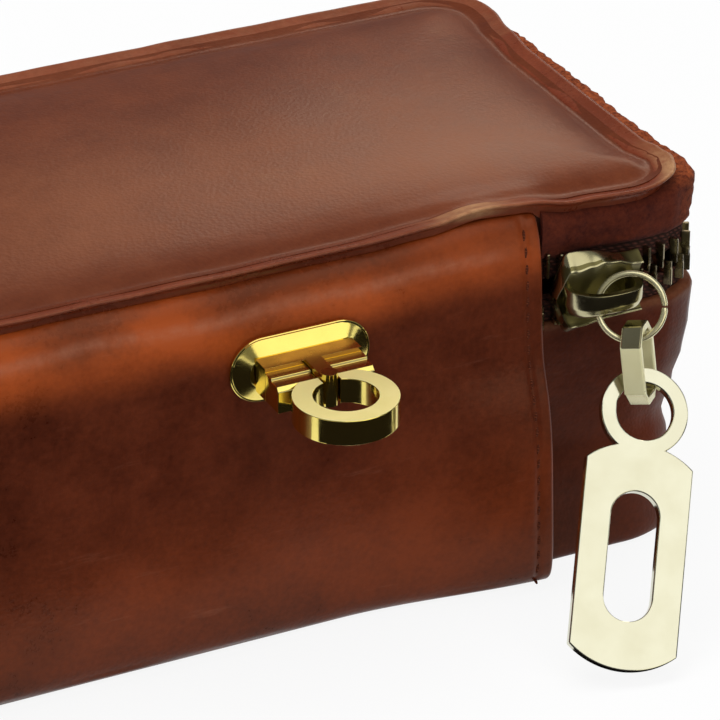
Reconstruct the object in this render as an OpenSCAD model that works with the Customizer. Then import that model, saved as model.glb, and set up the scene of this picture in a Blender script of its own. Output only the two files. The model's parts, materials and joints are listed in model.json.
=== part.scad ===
// Leather jewellery case: a padded lid hinged along the back, a zip round each
// side, and a drop-down front flap held by two quarter-turn ring locks.
// +Z is up, -Y is the front. The origin is the centre of the bottom face.

/* [Case] */
// Width over the base boards
board_w = 234; // [200:1:280]
// Depth over the base boards
board_d = 81; // [70:1:110]
// Corner radius of the boards, seen from above
board_r = 9; // [6:0.5:16]
// Board thickness
board_t = 2; // [1.5:0.1:3]
// Leather thickness
leather_t = 1.6; // [1:0.1:2]
// Thickness of the bottom leather
bottom_t = 1.4; // [1:0.1:2.5]
// Height of the leather on the base walls
base_leather_top = 46; // [40:0.5:48]
// Height of the boards of the base
base_board_top = 50; // [48.5:0.25:50.5]
// Height of the zip's centre line and of the lid's hinge axis
zip_z = 52.5; // [52.5:0.25:56]

/* [Lid] */
// Height of the lid board's top face
lid_board_top = 66; // [65.5:0.25:70]
// Thickness of the lid's top board
lid_board_t = 3; // [2:0.25:4]
// Thickness of the padding under the top leather
lid_pad_t = 2; // [1:0.25:4]
// Radius of the piping
piping_r = 1.1; // [0.8:0.05:1.3]
// Lower edge of the gusset band
gusset_bottom = 61.5; // [60.5:0.25:63]
// Length of the lid's apron below the board
apron_drop = 28; // [26:0.5:30]
// Thickness of the apron
apron_t = 1.8; // [1.4:0.1:2]

/* [Flap] */
// Width of the front flap
flap_w = 180; // [160:1:190]
// Height of the flap's top edge
flap_top = 65.5; // [62:0.25:66]
// Thickness of the suede backing of the flap
backing_t = 0.8; // [0.8:0.05:1]
// How far the flap stands proud of the base leather
flap_proud = 3.8; // [3.8:0.1:5]
// Gap between the flap's backing and the apron
apron_gap = 1.8; // [1.6:0.1:2]

/* [Zip] */
// Thickness of the zip tape
tape_t = 0.8; // [0.6:0.05:1]
// Distance between teeth on one tape
tooth_pitch = 2.6; // [2.4:0.1:3.5]
// Width of a tooth along the tape
tooth_w = 1.3; // [1:0.1:1.5]
// Height of a tooth
tooth_h = 4.4; // [3.5:0.1:4.8]
// How far the teeth stand out from the tape
tooth_out = 1.8; // [1.4:0.1:2.2]
// Length of the slider
slider_l = 15; // [13:0.5:16]
// Height of the slider at its wide end
slider_h = 14; // [13.2:0.2:15]

/* [Pull chain] */
// Mean radius of the jump ring
jump_r = 5.6; // [5.4:0.1:5.8]
// Wire radius of the jump ring
jump_wire_r = 0.55; // [0.45:0.05:0.6]
// Outer length of the octagonal link
link_l = 13.8; // [13.6:0.1:14.4]
// Outer width of the link
link_w = 9.4; // [9:0.2:10]
// Width of the link's band
link_band = 3.6; // [3:0.1:3.8]
// Wall of the link
link_t = 1.4; // [1.2:0.1:1.6]
// Outer radius of the ring at the top of the tag
tag_ring_r = 7.5; // [7:0.1:8]
// Wall of that ring
tag_ring_t = 2.6; // [2:0.1:2.8]
// Length of the tag's plate
tag_l = 38.5; // [34:0.5:38.5]
// Width of the tag's plate
tag_w = 18.4; // [16:0.2:19]
// Thickness of the tag
tag_t = 1.8; // [1.4:0.1:2]
// Width of the tag's slot
tag_slot_w = 8.2; // [7:0.1:9]
// Length of the tag's slot
tag_slot_l = 22; // [18:0.5:24]
// Height of the arch at each end of the tag's plate
tag_arch = 3.4; // [2:0.1:4.5]

/* [Ring lock] */
// Distance from the case's middle to each lock
lock_x = 44.5; // [40:0.5:50]
// Width of the lock plate
plate_w = 25; // [24:0.5:27]
// Height of the lock plate
plate_h = 11.6; // [11:0.2:13]
// Thickness of the lock plate
plate_t = 1.5; // [1.3:0.1:1.7]
// Width of the plate behind the flap
back_plate_w = 22; // [20:0.5:24]
// Height of the plate behind the flap
back_plate_h = 8; // [7:0.2:9]
// Outer radius of the ring
ring_r = 8.7; // [8:0.1:9.2]
// Radius of the ring's hole
ring_hole_r = 5.3; // [5:0.1:5.6]
// Thickness of the ring
ring_t = 4.4; // [4:0.1:5]
// Distance of the ring's centre in front of the flap
ring_out = 17.4; // [17.2:0.1:18]
// Width over the two cheeks
cheeks_w = 17.2; // [16:0.1:18]
// Radius of the spindle
spindle_r = 1.5; // [1.2:0.05:1.6]
// Length of the T bar on the spindle
t_bar_l = 10; // [9:0.25:11]

/* [Inside] */
// Height of the compartment walls above the floor
divider_h = 28; // [20:1:32]
// Thickness of the compartment walls
divider_t = 2; // [1.5:0.1:3]
// Diameter of a ring roll
roll_d = 12; // [10:0.5:13]
// Number of ring rolls
roll_count = 8; // [4:1:8]
// Width of the mirror
mirror_w = 120; // [80:1:140]
// Depth of the mirror
mirror_d = 46; // [30:1:50]

/* [Hidden] */
$fn = 64;

leather = [0.42, 0.18, 0.1];
suede = [0.4, 0.12, 0.08];
tape_black = [0.1, 0.08, 0.07];
antique_brass = [0.5, 0.46, 0.25];
gold = [0.93, 0.86, 0.5];
board = [0.55, 0.45, 0.35];

clear = 0.4;
running_gap = 0.3;

// Plan sizes, as half sizes of the boards.
half_w = board_w / 2;
half_d = board_d / 2;
leather_y = half_d + leather_t;
floor_z = bottom_t + board_t;
lining_t = 1;

// The stack behind the flap, as distances in front of the case's middle.
flap_front = leather_y + flap_proud;
flap_back = flap_front - leather_t;
backing_back = flap_back - backing_t;
apron_front = backing_back - apron_gap;
apron_back = apron_front - apron_t;
keeper_t = 0.8;
keeper_back = apron_back - keeper_t;
t_bar_front = keeper_back - clear;
t_bar_t = 1.6;
t_bar_back = t_bar_front - t_bar_t;
front_wall_y = t_bar_back - clear;
front_wall_in = front_wall_y - board_t;
half_flap = flap_w / 2;
recess_half = half_flap - 2;
apron_half = recess_half - 1;
flap_bottom = bottom_t + 0.9;

// Heights of the lid's parts.
lid_wall_bottom = zip_z + 2.5;
lid_inner_top = lid_board_top - lid_board_t;
piping_z = lid_board_top + lid_pad_t;
gusset_top = piping_z - piping_r;
apron_bottom = lid_board_top - apron_drop;
sill_top = apron_bottom - 2;
hinge_strip_t = 1;
hinge_gap = 0.3;

// Zip.
tooth_gap = 0.2;
zip_end_y = half_d - board_r - 1;
tape_reach = 2;
zip_start = half_flap + 1.5;
chain_out = half_d + tape_t + tooth_out;
teeth_start = zip_start + slider_l * 0.3;
straight_half = half_w - board_r;
slider_plate_in = chain_out + running_gap;
slider_plate_t = 2.4;
slider_face = slider_plate_in + slider_plate_t;
slider_end_h = 13;
bridge_gap = 3.4;
bridge_t = 1.3;
bridge_h = 4;
bridge_foot = 2.2;

// Ring lock: z centre, and distances measured out from the flap's face.
lock_z = zip_z;
plate_steps = 4;
plate_inset = 3.3;
knob_back = plate_t + running_gap;
knob_front = 10.3;
shelf_front = 5.4;
shelf_top = 3;
cheek_bottom = -2.8;
cheek_gap = 3;
step_z = [2.3, 1.8, 1.1];
step_out = [7.6, 9.7];
post_r = 1.4;
post_out = 11.3;
rivet_r = 0.9;
rivet_x = plate_w / 2 - 3.3;
slot_w = 2 * spindle_r + 1.6;

link_corner = 2.8;
link_hole_corner = 1.2;

// Pull chain: places of the centres on the right-hand side.
jump_centre = [zip_start + slider_l - 3, -(slider_face + 4.5), zip_z - 1.85];
link_centre = [jump_centre[0] - 0.2, jump_centre[1] - 3.5, jump_centre[2] - 8.75];
tag_centre = [link_centre[0] - 1.1, link_centre[1] - 4.1, link_centre[2] - 7.25];
// Each piece's turns about X, Y and Z, applied to a piece that hangs straight
// down in the XZ plane with its face to the front.
jump_turn = [-28.5, 0, -26];
link_turn = [-9, 8.5, 48.8];
tag_turn = [-40.7, 16.1, -10.9];

// ---------------------------------------------------------------- helpers

// A rounded rectangle grown by d from the boards' outline.
module outline(d) {
    w = board_w + 2 * d;
    h = board_d + 2 * d;
    r = board_r + d;
    square([w, h - 2 * r], center = true);
    square([w - 2 * r, h], center = true);
    for (sx = [-1, 1], sy = [-1, 1])
        translate([sx * (w / 2 - r), sy * (h / 2 - r)]) circle(r);
}

// A wall that follows the outline between two offsets and two heights.
module band(d0, d1, z0, z1) {
    translate([0, 0, z0]) linear_extrude(z1 - z0)
        difference() {
            outline(d1);
            outline(d0);
        }
}

// A flat plate of the outline's shape.
module plate(d, z0, z1) {
    translate([0, 0, z0]) linear_extrude(z1 - z0) outline(d);
}

// A block between two corners.
module block(a, b) {
    translate(a) cube(b - a);
}

// The space in front of the case that the flap covers, widened by g.
module flap_space(g, z0, z1) {
    block([-half_flap - g, -flap_front - 20, z0], [half_flap + g, -front_wall_y, z1]);
}

// The stretch of the outline that the right-hand zip covers.
module zip_side() {
    intersection() {
        children();
        block([half_flap + 0.5, -flap_front, 0], [half_w + 20, zip_end_y, 100]);
    }
}

module mirror_x(left) {
    mirror([left ? 1 : 0, 0, 0]) children();
}

// Moves children from the origin, facing the front, to the place at distance s
// along the right-hand zip, measured from the middle of the front.
module on_track(s) {
    arc = board_r * PI / 2;
    if (s <= straight_half)
        translate([s, -half_d, 0]) children();
    else if (s <= straight_half + arc)
        translate([straight_half, -half_d + board_r, 0])
            rotate([0, 0, (s - straight_half) / arc * 90])
                translate([0, -board_r, 0]) children();
    else
        translate([half_w, -half_d + board_r + s - straight_half - arc, 0])
            rotate([0, 0, 90]) children();
}

// One tooth whose foot is clamped on the tape and whose head meets the zip's
// centre line. It points up.
module tooth() {
    head_h = tooth_h * 0.4;
    block([-tooth_w / 2, -tape_t - tooth_out, -tooth_h - tooth_gap],
        [tooth_w / 2, -tape_t, -head_h]);
    block([-tooth_w / 2, -tape_t - tooth_out, -head_h],
        [tooth_w / 2, -tape_t + 0.6, -tooth_gap]);
}

// A row of teeth from the slider to the back corner, and two that the slider
// has parted. dir is 1 for the lower row and -1 for the upper one.
module teeth(dir, shift) {
    last = straight_half + board_r * PI / 2 + zip_end_y + half_d - board_r - 2 * tooth_pitch;
    count = floor((last - teeth_start) / tooth_pitch);
    for (i = [0 : count])
        on_track(teeth_start + shift + i * tooth_pitch)
            translate([0, 0, zip_z]) mirror([0, 0, dir < 0 ? 1 : 0]) tooth();
}

// ---------------------------------------------------------------- base

module base_shell() {
    color(board) {
        difference() {
            union() {
                plate(0, bottom_t, floor_z);
                band(-board_t, 0, bottom_t, base_board_top);
            }
            flap_recess();
        }
        // the recessed front wall with its returns, and the sill below the apron
        block([-recess_half - board_t, -front_wall_y, bottom_t],
            [recess_half + board_t, -front_wall_in, base_board_top]);
        for (sx = [-1, 1])
            block([min(sx * recess_half, sx * (recess_half + board_t)), -half_d, floor_z],
                [max(sx * recess_half, sx * (recess_half + board_t)), -front_wall_y, base_board_top]);
        block([-recess_half, -backing_back + clear, bottom_t],
            [recess_half, -front_wall_y, sill_top]);
    }
}

module flap_recess() {
    block([-recess_half, -flap_front, floor_z], [recess_half, -front_wall_y, 100]);
}

module bottom_leather() {
    color(leather) difference() {
        plate(leather_t, 0, bottom_t);
        block([-half_flap - clear, -flap_front, -1], [half_flap + clear, -leather_y + 2, bottom_t + 1]);
    }
}

module base_wall_leather() {
    color(leather) difference() {
        band(0, leather_t, bottom_t, base_leather_top);
        flap_space(clear, 0, 100);
    }
}

module base_lining() {
    color(suede) difference() {
        plate(-board_t, floor_z, floor_z + lining_t);
        block([-recess_half - board_t, -half_d, 0], [recess_half + board_t, -front_wall_in, 100]);
    }
}

divider_y = 8;
compartment_x = 38;

module long_divider() {
    color(suede)
        block([-half_w + board_t, divider_y, floor_z + lining_t],
            [half_w - board_t, divider_y + divider_t, floor_z + lining_t + divider_h]);
}

module cross_dividers() {
    color(suede) {
        for (x = [-compartment_x, compartment_x])
            block([x, divider_y + divider_t, floor_z + lining_t],
                [x + divider_t, half_d - board_t, floor_z + lining_t + divider_h]);
        block([0, -front_wall_in, floor_z + lining_t],
            [divider_t, divider_y, floor_z + lining_t + divider_h]);
    }
}

module ring_rolls() {
    roll_space = half_w - board_t - divider_t - 2;
    roll_pitch = roll_space / roll_count;
    roll_start = divider_t + roll_pitch / 2 + 1;
    roll_l = divider_y + front_wall_in - 1;
    color(suede)
        for (i = [0 : roll_count - 1])
            translate([roll_start + i * roll_pitch, divider_y - 0.5, floor_z + lining_t + roll_d / 2])
                rotate([90, 0, 0]) cylinder(h = roll_l, d = min(roll_d, roll_pitch - running_gap));
}

module flap_root() {
    color(leather)
        block([-half_flap, -flap_front + 0.6, 0], [half_flap, -leather_y + 2 - clear, bottom_t]);
}

// A leather strip across the back and round both back corners to the zips.
module hinge_strip(z0, z1) {
    color(leather) intersection() {
        band(0, hinge_strip_t, z0, z1);
        block([-half_w - 20, zip_end_y + hinge_gap, 0], [half_w + 20, half_d + 20, 100]);
    }
}

module hinge_strip_lower() {
    hinge_strip(base_leather_top, zip_z - hinge_gap);
}

module lower_tape() {
    color(tape_black) zip_side()
        band(0, tape_t, base_leather_top, zip_z - tape_reach);
}

module lower_tape_right() { lower_tape(); }

module lower_tape_left() { mirror_x(true) lower_tape(); }

module lower_teeth_right() { color(antique_brass) teeth(1, 0); }

module lower_teeth_left() { mirror_x(true) color(antique_brass) teeth(1, 0); }

// A crimped stop at the back end of each chain.
module zip_end_stops() {
    color(antique_brass)
        for (left = [false, true]) mirror_x(left)
            block([half_w + tape_t, zip_end_y - tooth_pitch, zip_z - tooth_h],
                [half_w + tape_t + tooth_out, zip_end_y - 1, zip_z - tooth_gap]);
}

// ---------------------------------------------------------------- lid

module lid_board() {
    color(board) difference() {
        union() {
            plate(0, lid_inner_top, lid_board_top);
            band(-board_t, 0, lid_wall_bottom, lid_board_top);
        }
        block([-recess_half, -half_d - 1, lid_wall_bottom - 1],
            [recess_half, -half_d + board_t, lid_inner_top]);
    }
}

module lid_pad() {
    color("wheat") plate(0, lid_board_top, lid_board_top + lid_pad_t);
}

module lid_leather() {
    color(leather)
        plate(leather_t - piping_r - 0.1, lid_board_top + lid_pad_t,
            lid_board_top + lid_pad_t + leather_t);
}

// A welt of leather over a cord, round the whole lid.
module lid_piping() {
    d = leather_t;
    w = half_w + d;
    h = half_d + d;
    r = board_r + d;
    color(leather) translate([0, 0, piping_z]) {
        for (sx = [-1, 1]) {
            translate([sx * w, -(h - r), 0]) rotate([-90, 0, 0]) cylinder(h = 2 * (h - r), r = piping_r);
            for (sy = [-1, 1])
                translate([sx * (w - r), sy * (h - r), 0])
                    rotate([0, 0, sx > 0 ? (sy > 0 ? 0 : -90) : (sy > 0 ? 90 : 180)])
                        rotate_extrude(angle = 90) translate([r, 0]) circle(piping_r, $fn = 24);
        }
        for (sy = [-1, 1])
            translate([-(w - r), sy * h, 0]) rotate([0, 90, 0]) cylinder(h = 2 * (w - r), r = piping_r);
    }
}

module lid_gusset() {
    color(suede) difference() {
        band(0, leather_t, gusset_bottom, gusset_top);
        flap_space(clear, 0, 100);
    }
}

// The tongue that hangs from the lid behind the flap. Its slots are open at
// the bottom, so that it lifts off the spindles.
module lid_apron() {
    color(suede) difference() {
        union() {
            block([-apron_half, -apron_front, apron_bottom], [apron_half, -apron_back, lid_board_top]);
            block([-apron_half, -apron_back, lid_inner_top], [apron_half, -half_d + board_t, lid_board_top]);
        }
        for (sx = [-1, 1]) fork_slot(sx);
        // seat on the lid board
        block([-recess_half, -half_d, lid_inner_top - 1], [recess_half, -half_d + board_t + 1, lid_board_top + 1]);
    }
}

module fork_slot(sx) {
    slot_top = lock_z + t_bar_l / 2 + 1;
    block([sx * lock_x - slot_w / 2, -apron_front - 1, apron_bottom - 1],
        [sx * lock_x + slot_w / 2, -keeper_back + 1, slot_top]);
}

// A brass fork behind the apron. Two lips below the turned T bar hold it.
module keeper(sx) {
    keeper_half = 8;
    lip_h = 3.6;
    t_bar_sweep = sqrt(pow(t_bar_l / 2, 2) + pow(spindle_r, 2)) + clear;
    lip_top = lock_z - spindle_r - 1.6;
    color(gold) difference() {
        union() {
            block([sx * lock_x - keeper_half, -apron_back, apron_bottom + 1],
                [sx * lock_x + keeper_half, -keeper_back, lock_z + 9]);
            block([sx * lock_x - keeper_half + 1, -keeper_back, lip_top - lip_h],
                [sx * lock_x + keeper_half - 1, -t_bar_back - 0.1, lip_top]);
        }
        fork_slot(sx);
        block([sx * lock_x - slot_w / 2, -keeper_back - 1, apron_bottom - 1],
            [sx * lock_x + slot_w / 2, -t_bar_back + 1, lip_top + 1]);
        // room between the lips for the bar to turn
        translate([sx * lock_x, -t_bar_back + 1, lock_z]) rotate([90, 0, 0])
            cylinder(h = keeper_back - t_bar_back + 1, r = t_bar_sweep);
    }
}

module keeper_right() { keeper(1); }

module keeper_left() { keeper(-1); }

module hinge_strip_upper() {
    hinge_strip(zip_z + hinge_gap, gusset_bottom);
}

module upper_tape() {
    color(tape_black) zip_side()
        band(0, tape_t, zip_z + tape_reach, gusset_bottom);
}

module upper_tape_right() { upper_tape(); }

module upper_tape_left() { mirror_x(true) upper_tape(); }

module upper_teeth_right() { color(antique_brass) teeth(-1, tooth_pitch / 2); }

module upper_teeth_left() { mirror_x(true) color(antique_brass) teeth(-1, tooth_pitch / 2); }

module lid_lining() {
    color(suede) difference() {
        plate(-board_t - 0.1, lid_inner_top - lining_t, lid_inner_top);
        block([-recess_half, -half_d, 0], [recess_half, -front_wall_y, 100]);
    }
}

frame_w = 4;
mirror_t = 1.4;

module mirror_frame() {
    top = lid_inner_top - lining_t;
    color(leather) difference() {
        block([-mirror_w / 2 - frame_w, -mirror_d / 2 - frame_w, top - mirror_t - 0.6],
            [mirror_w / 2 + frame_w, mirror_d / 2 + frame_w, top]);
        block([-mirror_w / 2, -mirror_d / 2, top - mirror_t], [mirror_w / 2, mirror_d / 2, top + 1]);
        block([-mirror_w / 2 + 2, -mirror_d / 2 + 2, top - 5], [mirror_w / 2 - 2, mirror_d / 2 - 2, top]);
    }
}

module lid_mirror() {
    top = lid_inner_top - lining_t;
    color("white")
        block([-mirror_w / 2, -mirror_d / 2, top - mirror_t], [mirror_w / 2, mirror_d / 2, top]);
}

// ---------------------------------------------------------------- flap

// A hole through the flap for a lock, along Y.
module lock_holes(r) {
    for (sx = [-1, 1])
        translate([sx * lock_x, 0, lock_z]) rotate([90, 0, 0]) cylinder(h = 100, r = r);
}

module rivet_holes() {
    for (sx = [-1, 1], rx = [-1, 1])
        translate([sx * lock_x + rx * rivet_x, 0, lock_z]) rotate([90, 0, 0]) cylinder(h = 100, r = rivet_r);
}

module front_flap() {
    color(leather) difference() {
        block([-half_flap, -flap_front, flap_bottom], [half_flap, -flap_back, flap_top]);
        lock_holes(spindle_r + running_gap);
        rivet_holes();
    }
}

module flap_backing() {
    margin = 2;
    color(suede) difference() {
        block([-half_flap + margin, -flap_back, flap_bottom + margin],
            [half_flap - margin, -backing_back, flap_top - margin]);
        for (sx = [-1, 1]) translate([sx * lock_x, -flap_back - 1, lock_z])
            stadium(back_plate_w + clear, back_plate_h + clear, backing_t + 3);
    }
}

// A plate with round ends in the XZ plane, growing towards +Y.
module stadium(w, h, t) {
    rotate([-90, 0, 0]) linear_extrude(t) {
        square([w - h, h], center = true);
        for (sx = [-1, 1]) translate([sx * (w - h) / 2, 0]) circle(h / 2);
    }
}

// The plate's edge rises in steps from a wide foot to a flat face.
module lock_plate(sx) {
    step = plate_t / plate_steps;
    color(gold) translate([sx * lock_x, -flap_front, lock_z]) difference() {
        for (i = [0 : plate_steps - 1]) {
            inset = 2 * plate_inset * i / (plate_steps - 1);
            translate([0, -step * (i + 1), 0]) stadium(plate_w - inset, plate_h - inset, step * (i + 1));
        }
        rotate([90, 0, 0]) cylinder(h = 20, r = spindle_r + running_gap, center = true);
    }
}

module lock_plate_right() { lock_plate(1); }

module lock_plate_left() { lock_plate(-1); }

module back_plate(sx) {
    color(gold) difference() {
        translate([sx * lock_x, -flap_back, lock_z]) stadium(back_plate_w, back_plate_h, backing_t);
        lock_holes(spindle_r + running_gap);
        rivet_holes();
    }
}

module back_plate_right() { back_plate(1); }

module back_plate_left() { back_plate(-1); }

module lock_rivets(sx) {
    color(gold)
        for (rx = [-1, 1])
            translate([sx * lock_x + rx * rivet_x, -backing_back, lock_z])
                rotate([90, 0, 0]) cylinder(h = leather_t + backing_t, r = rivet_r);
}

module lock_rivets_right() { lock_rivets(1); }

module lock_rivets_left() { lock_rivets(-1); }

// Two stepped cheeks joined by a thick flat ring that stands out from them.
module turn_ring(sx) {
    gap_in = cheek_gap / 2;
    color(gold) translate([sx * lock_x, -flap_front, lock_z]) {
        for (cx = [-1, 1])
            translate([cx > 0 ? gap_in : -cheeks_w / 2, 0, 0])
                cheek(cheeks_w / 2 - gap_in);
        difference() {
            translate([0, -ring_out, -ring_t / 2]) cylinder(h = ring_t, r = ring_r);
            translate([0, -ring_out, -ring_t]) cylinder(h = 2 * ring_t, r = ring_hole_r);
            block([-cheeks_w, -knob_front, -ring_t], [cheeks_w, 0, ring_t]);
            block([-gap_in, -ring_out, -ring_t], [gap_in, 0, ring_t]);
        }
    }
}

module cheek(w) {
    rotate([90, 0, 90]) linear_extrude(w)
        polygon([[-shelf_front, cheek_bottom], [-shelf_front, step_z[0]],
            [-step_out[0], step_z[0]], [-step_out[0], step_z[1]],
            [-step_out[1], step_z[1]], [-knob_front, step_z[2]],
            [-knob_front, cheek_bottom]]);
}

module turn_ring_right() { turn_ring(1); }

module turn_ring_left() { turn_ring(-1); }

// A T-shaped shelf behind the cheeks, a neck between them with a round head,
// and the spindle that carries the T bar behind the apron.
module lock_post(sx) {
    neck = cheek_gap / 2 - 0.1;
    color(gold) translate([sx * lock_x, -flap_front, lock_z]) {
        block([-cheeks_w / 2, -shelf_front, cheek_bottom], [cheeks_w / 2, -knob_back, shelf_top]);
        block([-neck, -post_out, cheek_bottom + 1], [neck, -shelf_front, shelf_top]);
        translate([0, -post_out, cheek_bottom + 0.4])
            cylinder(h = shelf_top - cheek_bottom, r = post_r);
        rotate([90, 0, 0]) translate([0, 0, -(flap_front - t_bar_back)])
            cylinder(h = flap_front - t_bar_back + knob_back, r = spindle_r);
        translate([0, flap_front - t_bar_front, 0])
            block([-spindle_r, 0, -t_bar_l / 2], [spindle_r, t_bar_t, t_bar_l / 2]);
    }
}

module lock_post_right() { lock_post(1); }

module lock_post_left() { lock_post(-1); }

// ---------------------------------------------------------------- zip pulls

// The slider's front shell with a flange below the chain, and a hood-shaped
// bridge that carries the jump ring.
module slider() {
    x0 = zip_start;
    x1 = zip_start + slider_l;
    flange_in = half_d + leather_t + running_gap;
    color(antique_brass) {
        translate([0, -slider_plate_in, zip_z]) rotate([90, 0, 0]) linear_extrude(slider_plate_t)
            slider_outline(x0, x1);
        translate([0, -flange_in, zip_z]) rotate([90, 0, 0])
            linear_extrude(slider_plate_in - flange_in + 0.2) difference() {
                slider_outline(x0, x1);
                translate([x0 - 1, -tooth_h - tooth_gap - running_gap]) square([slider_l + 2, slider_h]);
            }
        bridge(x0 + 1.6, x1 - 1);
    }
}

module slider_outline(x0, x1) {
    shoulder = x0 + slider_l * 0.4;
    polygon([[x0, -1.5], [x0 + 1.4, -slider_h / 2], [shoulder, -slider_h / 2],
        [x1, -slider_end_h / 2], [x1, slider_end_h / 2], [shoulder, slider_h / 2],
        [x0 + 1.4, slider_h / 2], [x0, 1.5]]);
}

module bridge(x0, x1) {
    arm_in = slider_face + bridge_gap;
    arm_out = arm_in + bridge_t;
    translate([0, 0, zip_z - bridge_h / 2]) linear_extrude(bridge_h) {
        polygon([[x0, -slider_face], [x0, -slider_face - 1.5], [x0 + 2.5, -arm_out],
            [x1 - 1.2, -arm_out], [x1, -arm_out + 1.2], [x1, -slider_face],
            [x1 - bridge_foot + 0.8, -slider_face], [x1 - bridge_foot + 0.8, -arm_in],
            [x0 + bridge_foot + 1.2, -arm_in], [x0 + bridge_foot, -slider_face]]);
    }
}

module slider_right() { slider(); }

module slider_left() { mirror_x(true) slider(); }

// Places a piece drawn in the XZ plane about the origin.
module placed(centre, turn) {
    translate(centre) rotate([0, 0, turn[2]]) rotate([turn[0], 0, 0]) rotate([0, turn[1], 0]) children();
}

module jump_ring() {
    color(gold) placed(jump_centre, jump_turn)
        rotate([90, 0, 0]) rotate_extrude() translate([jump_r, 0]) circle(jump_wire_r, $fn = 24);
}

module jump_ring_right() { jump_ring(); }

module jump_ring_left() { mirror_x(true) jump_ring(); }

// An upright octagon with corners cut by c.
module octagon(w, h, c) {
    polygon([[-w / 2, -h / 2 + c], [-w / 2 + c, -h / 2], [w / 2 - c, -h / 2], [w / 2, -h / 2 + c],
        [w / 2, h / 2 - c], [w / 2 - c, h / 2], [-w / 2 + c, h / 2], [-w / 2, h / 2 - c]]);
}

module link() {
    color(gold) placed(link_centre, link_turn)
        translate([0, link_band / 2, 0]) rotate([90, 0, 0]) linear_extrude(link_band)
            difference() {
                octagon(link_w, link_l, link_corner);
                octagon(link_w - 2 * link_t, link_l - 2 * link_t, link_hole_corner);
            }
}

module link_right() { link(); }

module link_left() { mirror_x(true) link(); }

// A rectangle whose two short ends are arches of height a.
module arched_plate(w, h, a) {
    r = (w * w / 4 + a * a) / (2 * a);
    intersection() {
        square([w, h], center = true);
        union() {
            square([w, h - 2 * a], center = true);
            for (e = [-1, 1]) intersection() {
                translate([0, e * (h / 2 - r)]) circle(r);
                translate([0, e * h / 4]) square([w, h / 2], center = true);
            }
        }
    }
}

// A flat tag with arched ends and a long slot, and the ring that it hangs by.
module tag() {
    plate_top = -tag_ring_r + 2;
    plate_mid = plate_top - tag_l / 2;
    color(gold) placed(tag_centre, tag_turn)
        translate([0, tag_t / 2, 0]) rotate([90, 0, 0]) linear_extrude(tag_t) difference() {
            union() {
                circle(tag_ring_r);
                translate([0, plate_mid]) arched_plate(tag_w, tag_l, tag_arch);
            }
            circle(tag_ring_r - tag_ring_t);
            translate([0, plate_mid]) square([tag_slot_w, tag_slot_l - tag_slot_w], center = true);
            for (e = [-1, 1]) translate([0, plate_mid + e * (tag_slot_l - tag_slot_w) / 2])
                circle(tag_slot_w / 2);
        }
}

module tag_right() { tag(); }

module tag_left() { mirror_x(true) tag(); }

base_shell();
bottom_leather();
base_wall_leather();
base_lining();
long_divider();
cross_dividers();
ring_rolls();
flap_root();
hinge_strip_lower();
lower_tape_right();
lower_tape_left();
lower_teeth_right();
lower_teeth_left();
zip_end_stops();
lid_board();
lid_pad();
lid_leather();
lid_piping();
lid_gusset();
lid_apron();
keeper_right();
keeper_left();
hinge_strip_upper();
upper_tape_right();
upper_tape_left();
upper_teeth_right();
upper_teeth_left();
lid_lining();
mirror_frame();
lid_mirror();
front_flap();
flap_backing();
lock_plate_right();
lock_plate_left();
back_plate_right();
back_plate_left();
lock_rivets_right();
lock_rivets_left();
turn_ring_right();
turn_ring_left();
lock_post_right();
lock_post_left();
slider_right();
slider_left();
jump_ring_right();
jump_ring_left();
link_right();
link_left();
tag_right();
tag_left();
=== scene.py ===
import json
import math
import bmesh
import bpy
from mathutils import Matrix, Vector, noise
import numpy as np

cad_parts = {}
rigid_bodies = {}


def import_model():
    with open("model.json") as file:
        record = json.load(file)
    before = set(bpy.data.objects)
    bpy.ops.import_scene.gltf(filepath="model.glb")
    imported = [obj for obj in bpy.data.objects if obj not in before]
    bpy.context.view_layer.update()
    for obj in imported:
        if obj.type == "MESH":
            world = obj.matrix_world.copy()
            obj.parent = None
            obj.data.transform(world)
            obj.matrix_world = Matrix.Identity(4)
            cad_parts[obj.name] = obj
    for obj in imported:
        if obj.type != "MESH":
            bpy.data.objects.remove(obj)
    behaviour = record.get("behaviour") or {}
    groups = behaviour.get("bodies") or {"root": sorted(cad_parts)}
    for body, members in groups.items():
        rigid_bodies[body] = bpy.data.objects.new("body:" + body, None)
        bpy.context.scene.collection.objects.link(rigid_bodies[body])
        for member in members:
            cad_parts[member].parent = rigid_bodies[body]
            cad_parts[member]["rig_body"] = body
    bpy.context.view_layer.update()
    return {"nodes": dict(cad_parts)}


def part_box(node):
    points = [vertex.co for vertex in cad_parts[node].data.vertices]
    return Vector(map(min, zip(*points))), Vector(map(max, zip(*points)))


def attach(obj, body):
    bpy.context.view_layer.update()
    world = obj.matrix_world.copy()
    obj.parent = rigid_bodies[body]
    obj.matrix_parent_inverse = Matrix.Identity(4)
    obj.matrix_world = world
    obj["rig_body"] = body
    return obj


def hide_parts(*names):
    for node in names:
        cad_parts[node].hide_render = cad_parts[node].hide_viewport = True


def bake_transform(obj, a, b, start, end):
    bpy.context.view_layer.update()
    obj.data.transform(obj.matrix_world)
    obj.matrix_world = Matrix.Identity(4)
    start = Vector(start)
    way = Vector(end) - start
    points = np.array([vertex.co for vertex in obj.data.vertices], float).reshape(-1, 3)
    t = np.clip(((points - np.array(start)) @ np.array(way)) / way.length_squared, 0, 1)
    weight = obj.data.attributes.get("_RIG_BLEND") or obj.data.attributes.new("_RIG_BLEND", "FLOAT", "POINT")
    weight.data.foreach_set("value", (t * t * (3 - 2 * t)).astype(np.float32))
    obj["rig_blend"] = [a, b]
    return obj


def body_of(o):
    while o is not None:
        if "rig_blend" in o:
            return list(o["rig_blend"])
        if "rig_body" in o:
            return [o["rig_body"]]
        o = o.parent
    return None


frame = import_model()

# All shapes below are in millimetres, and add_piece brings them to metres.
MM = 0.001

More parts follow.
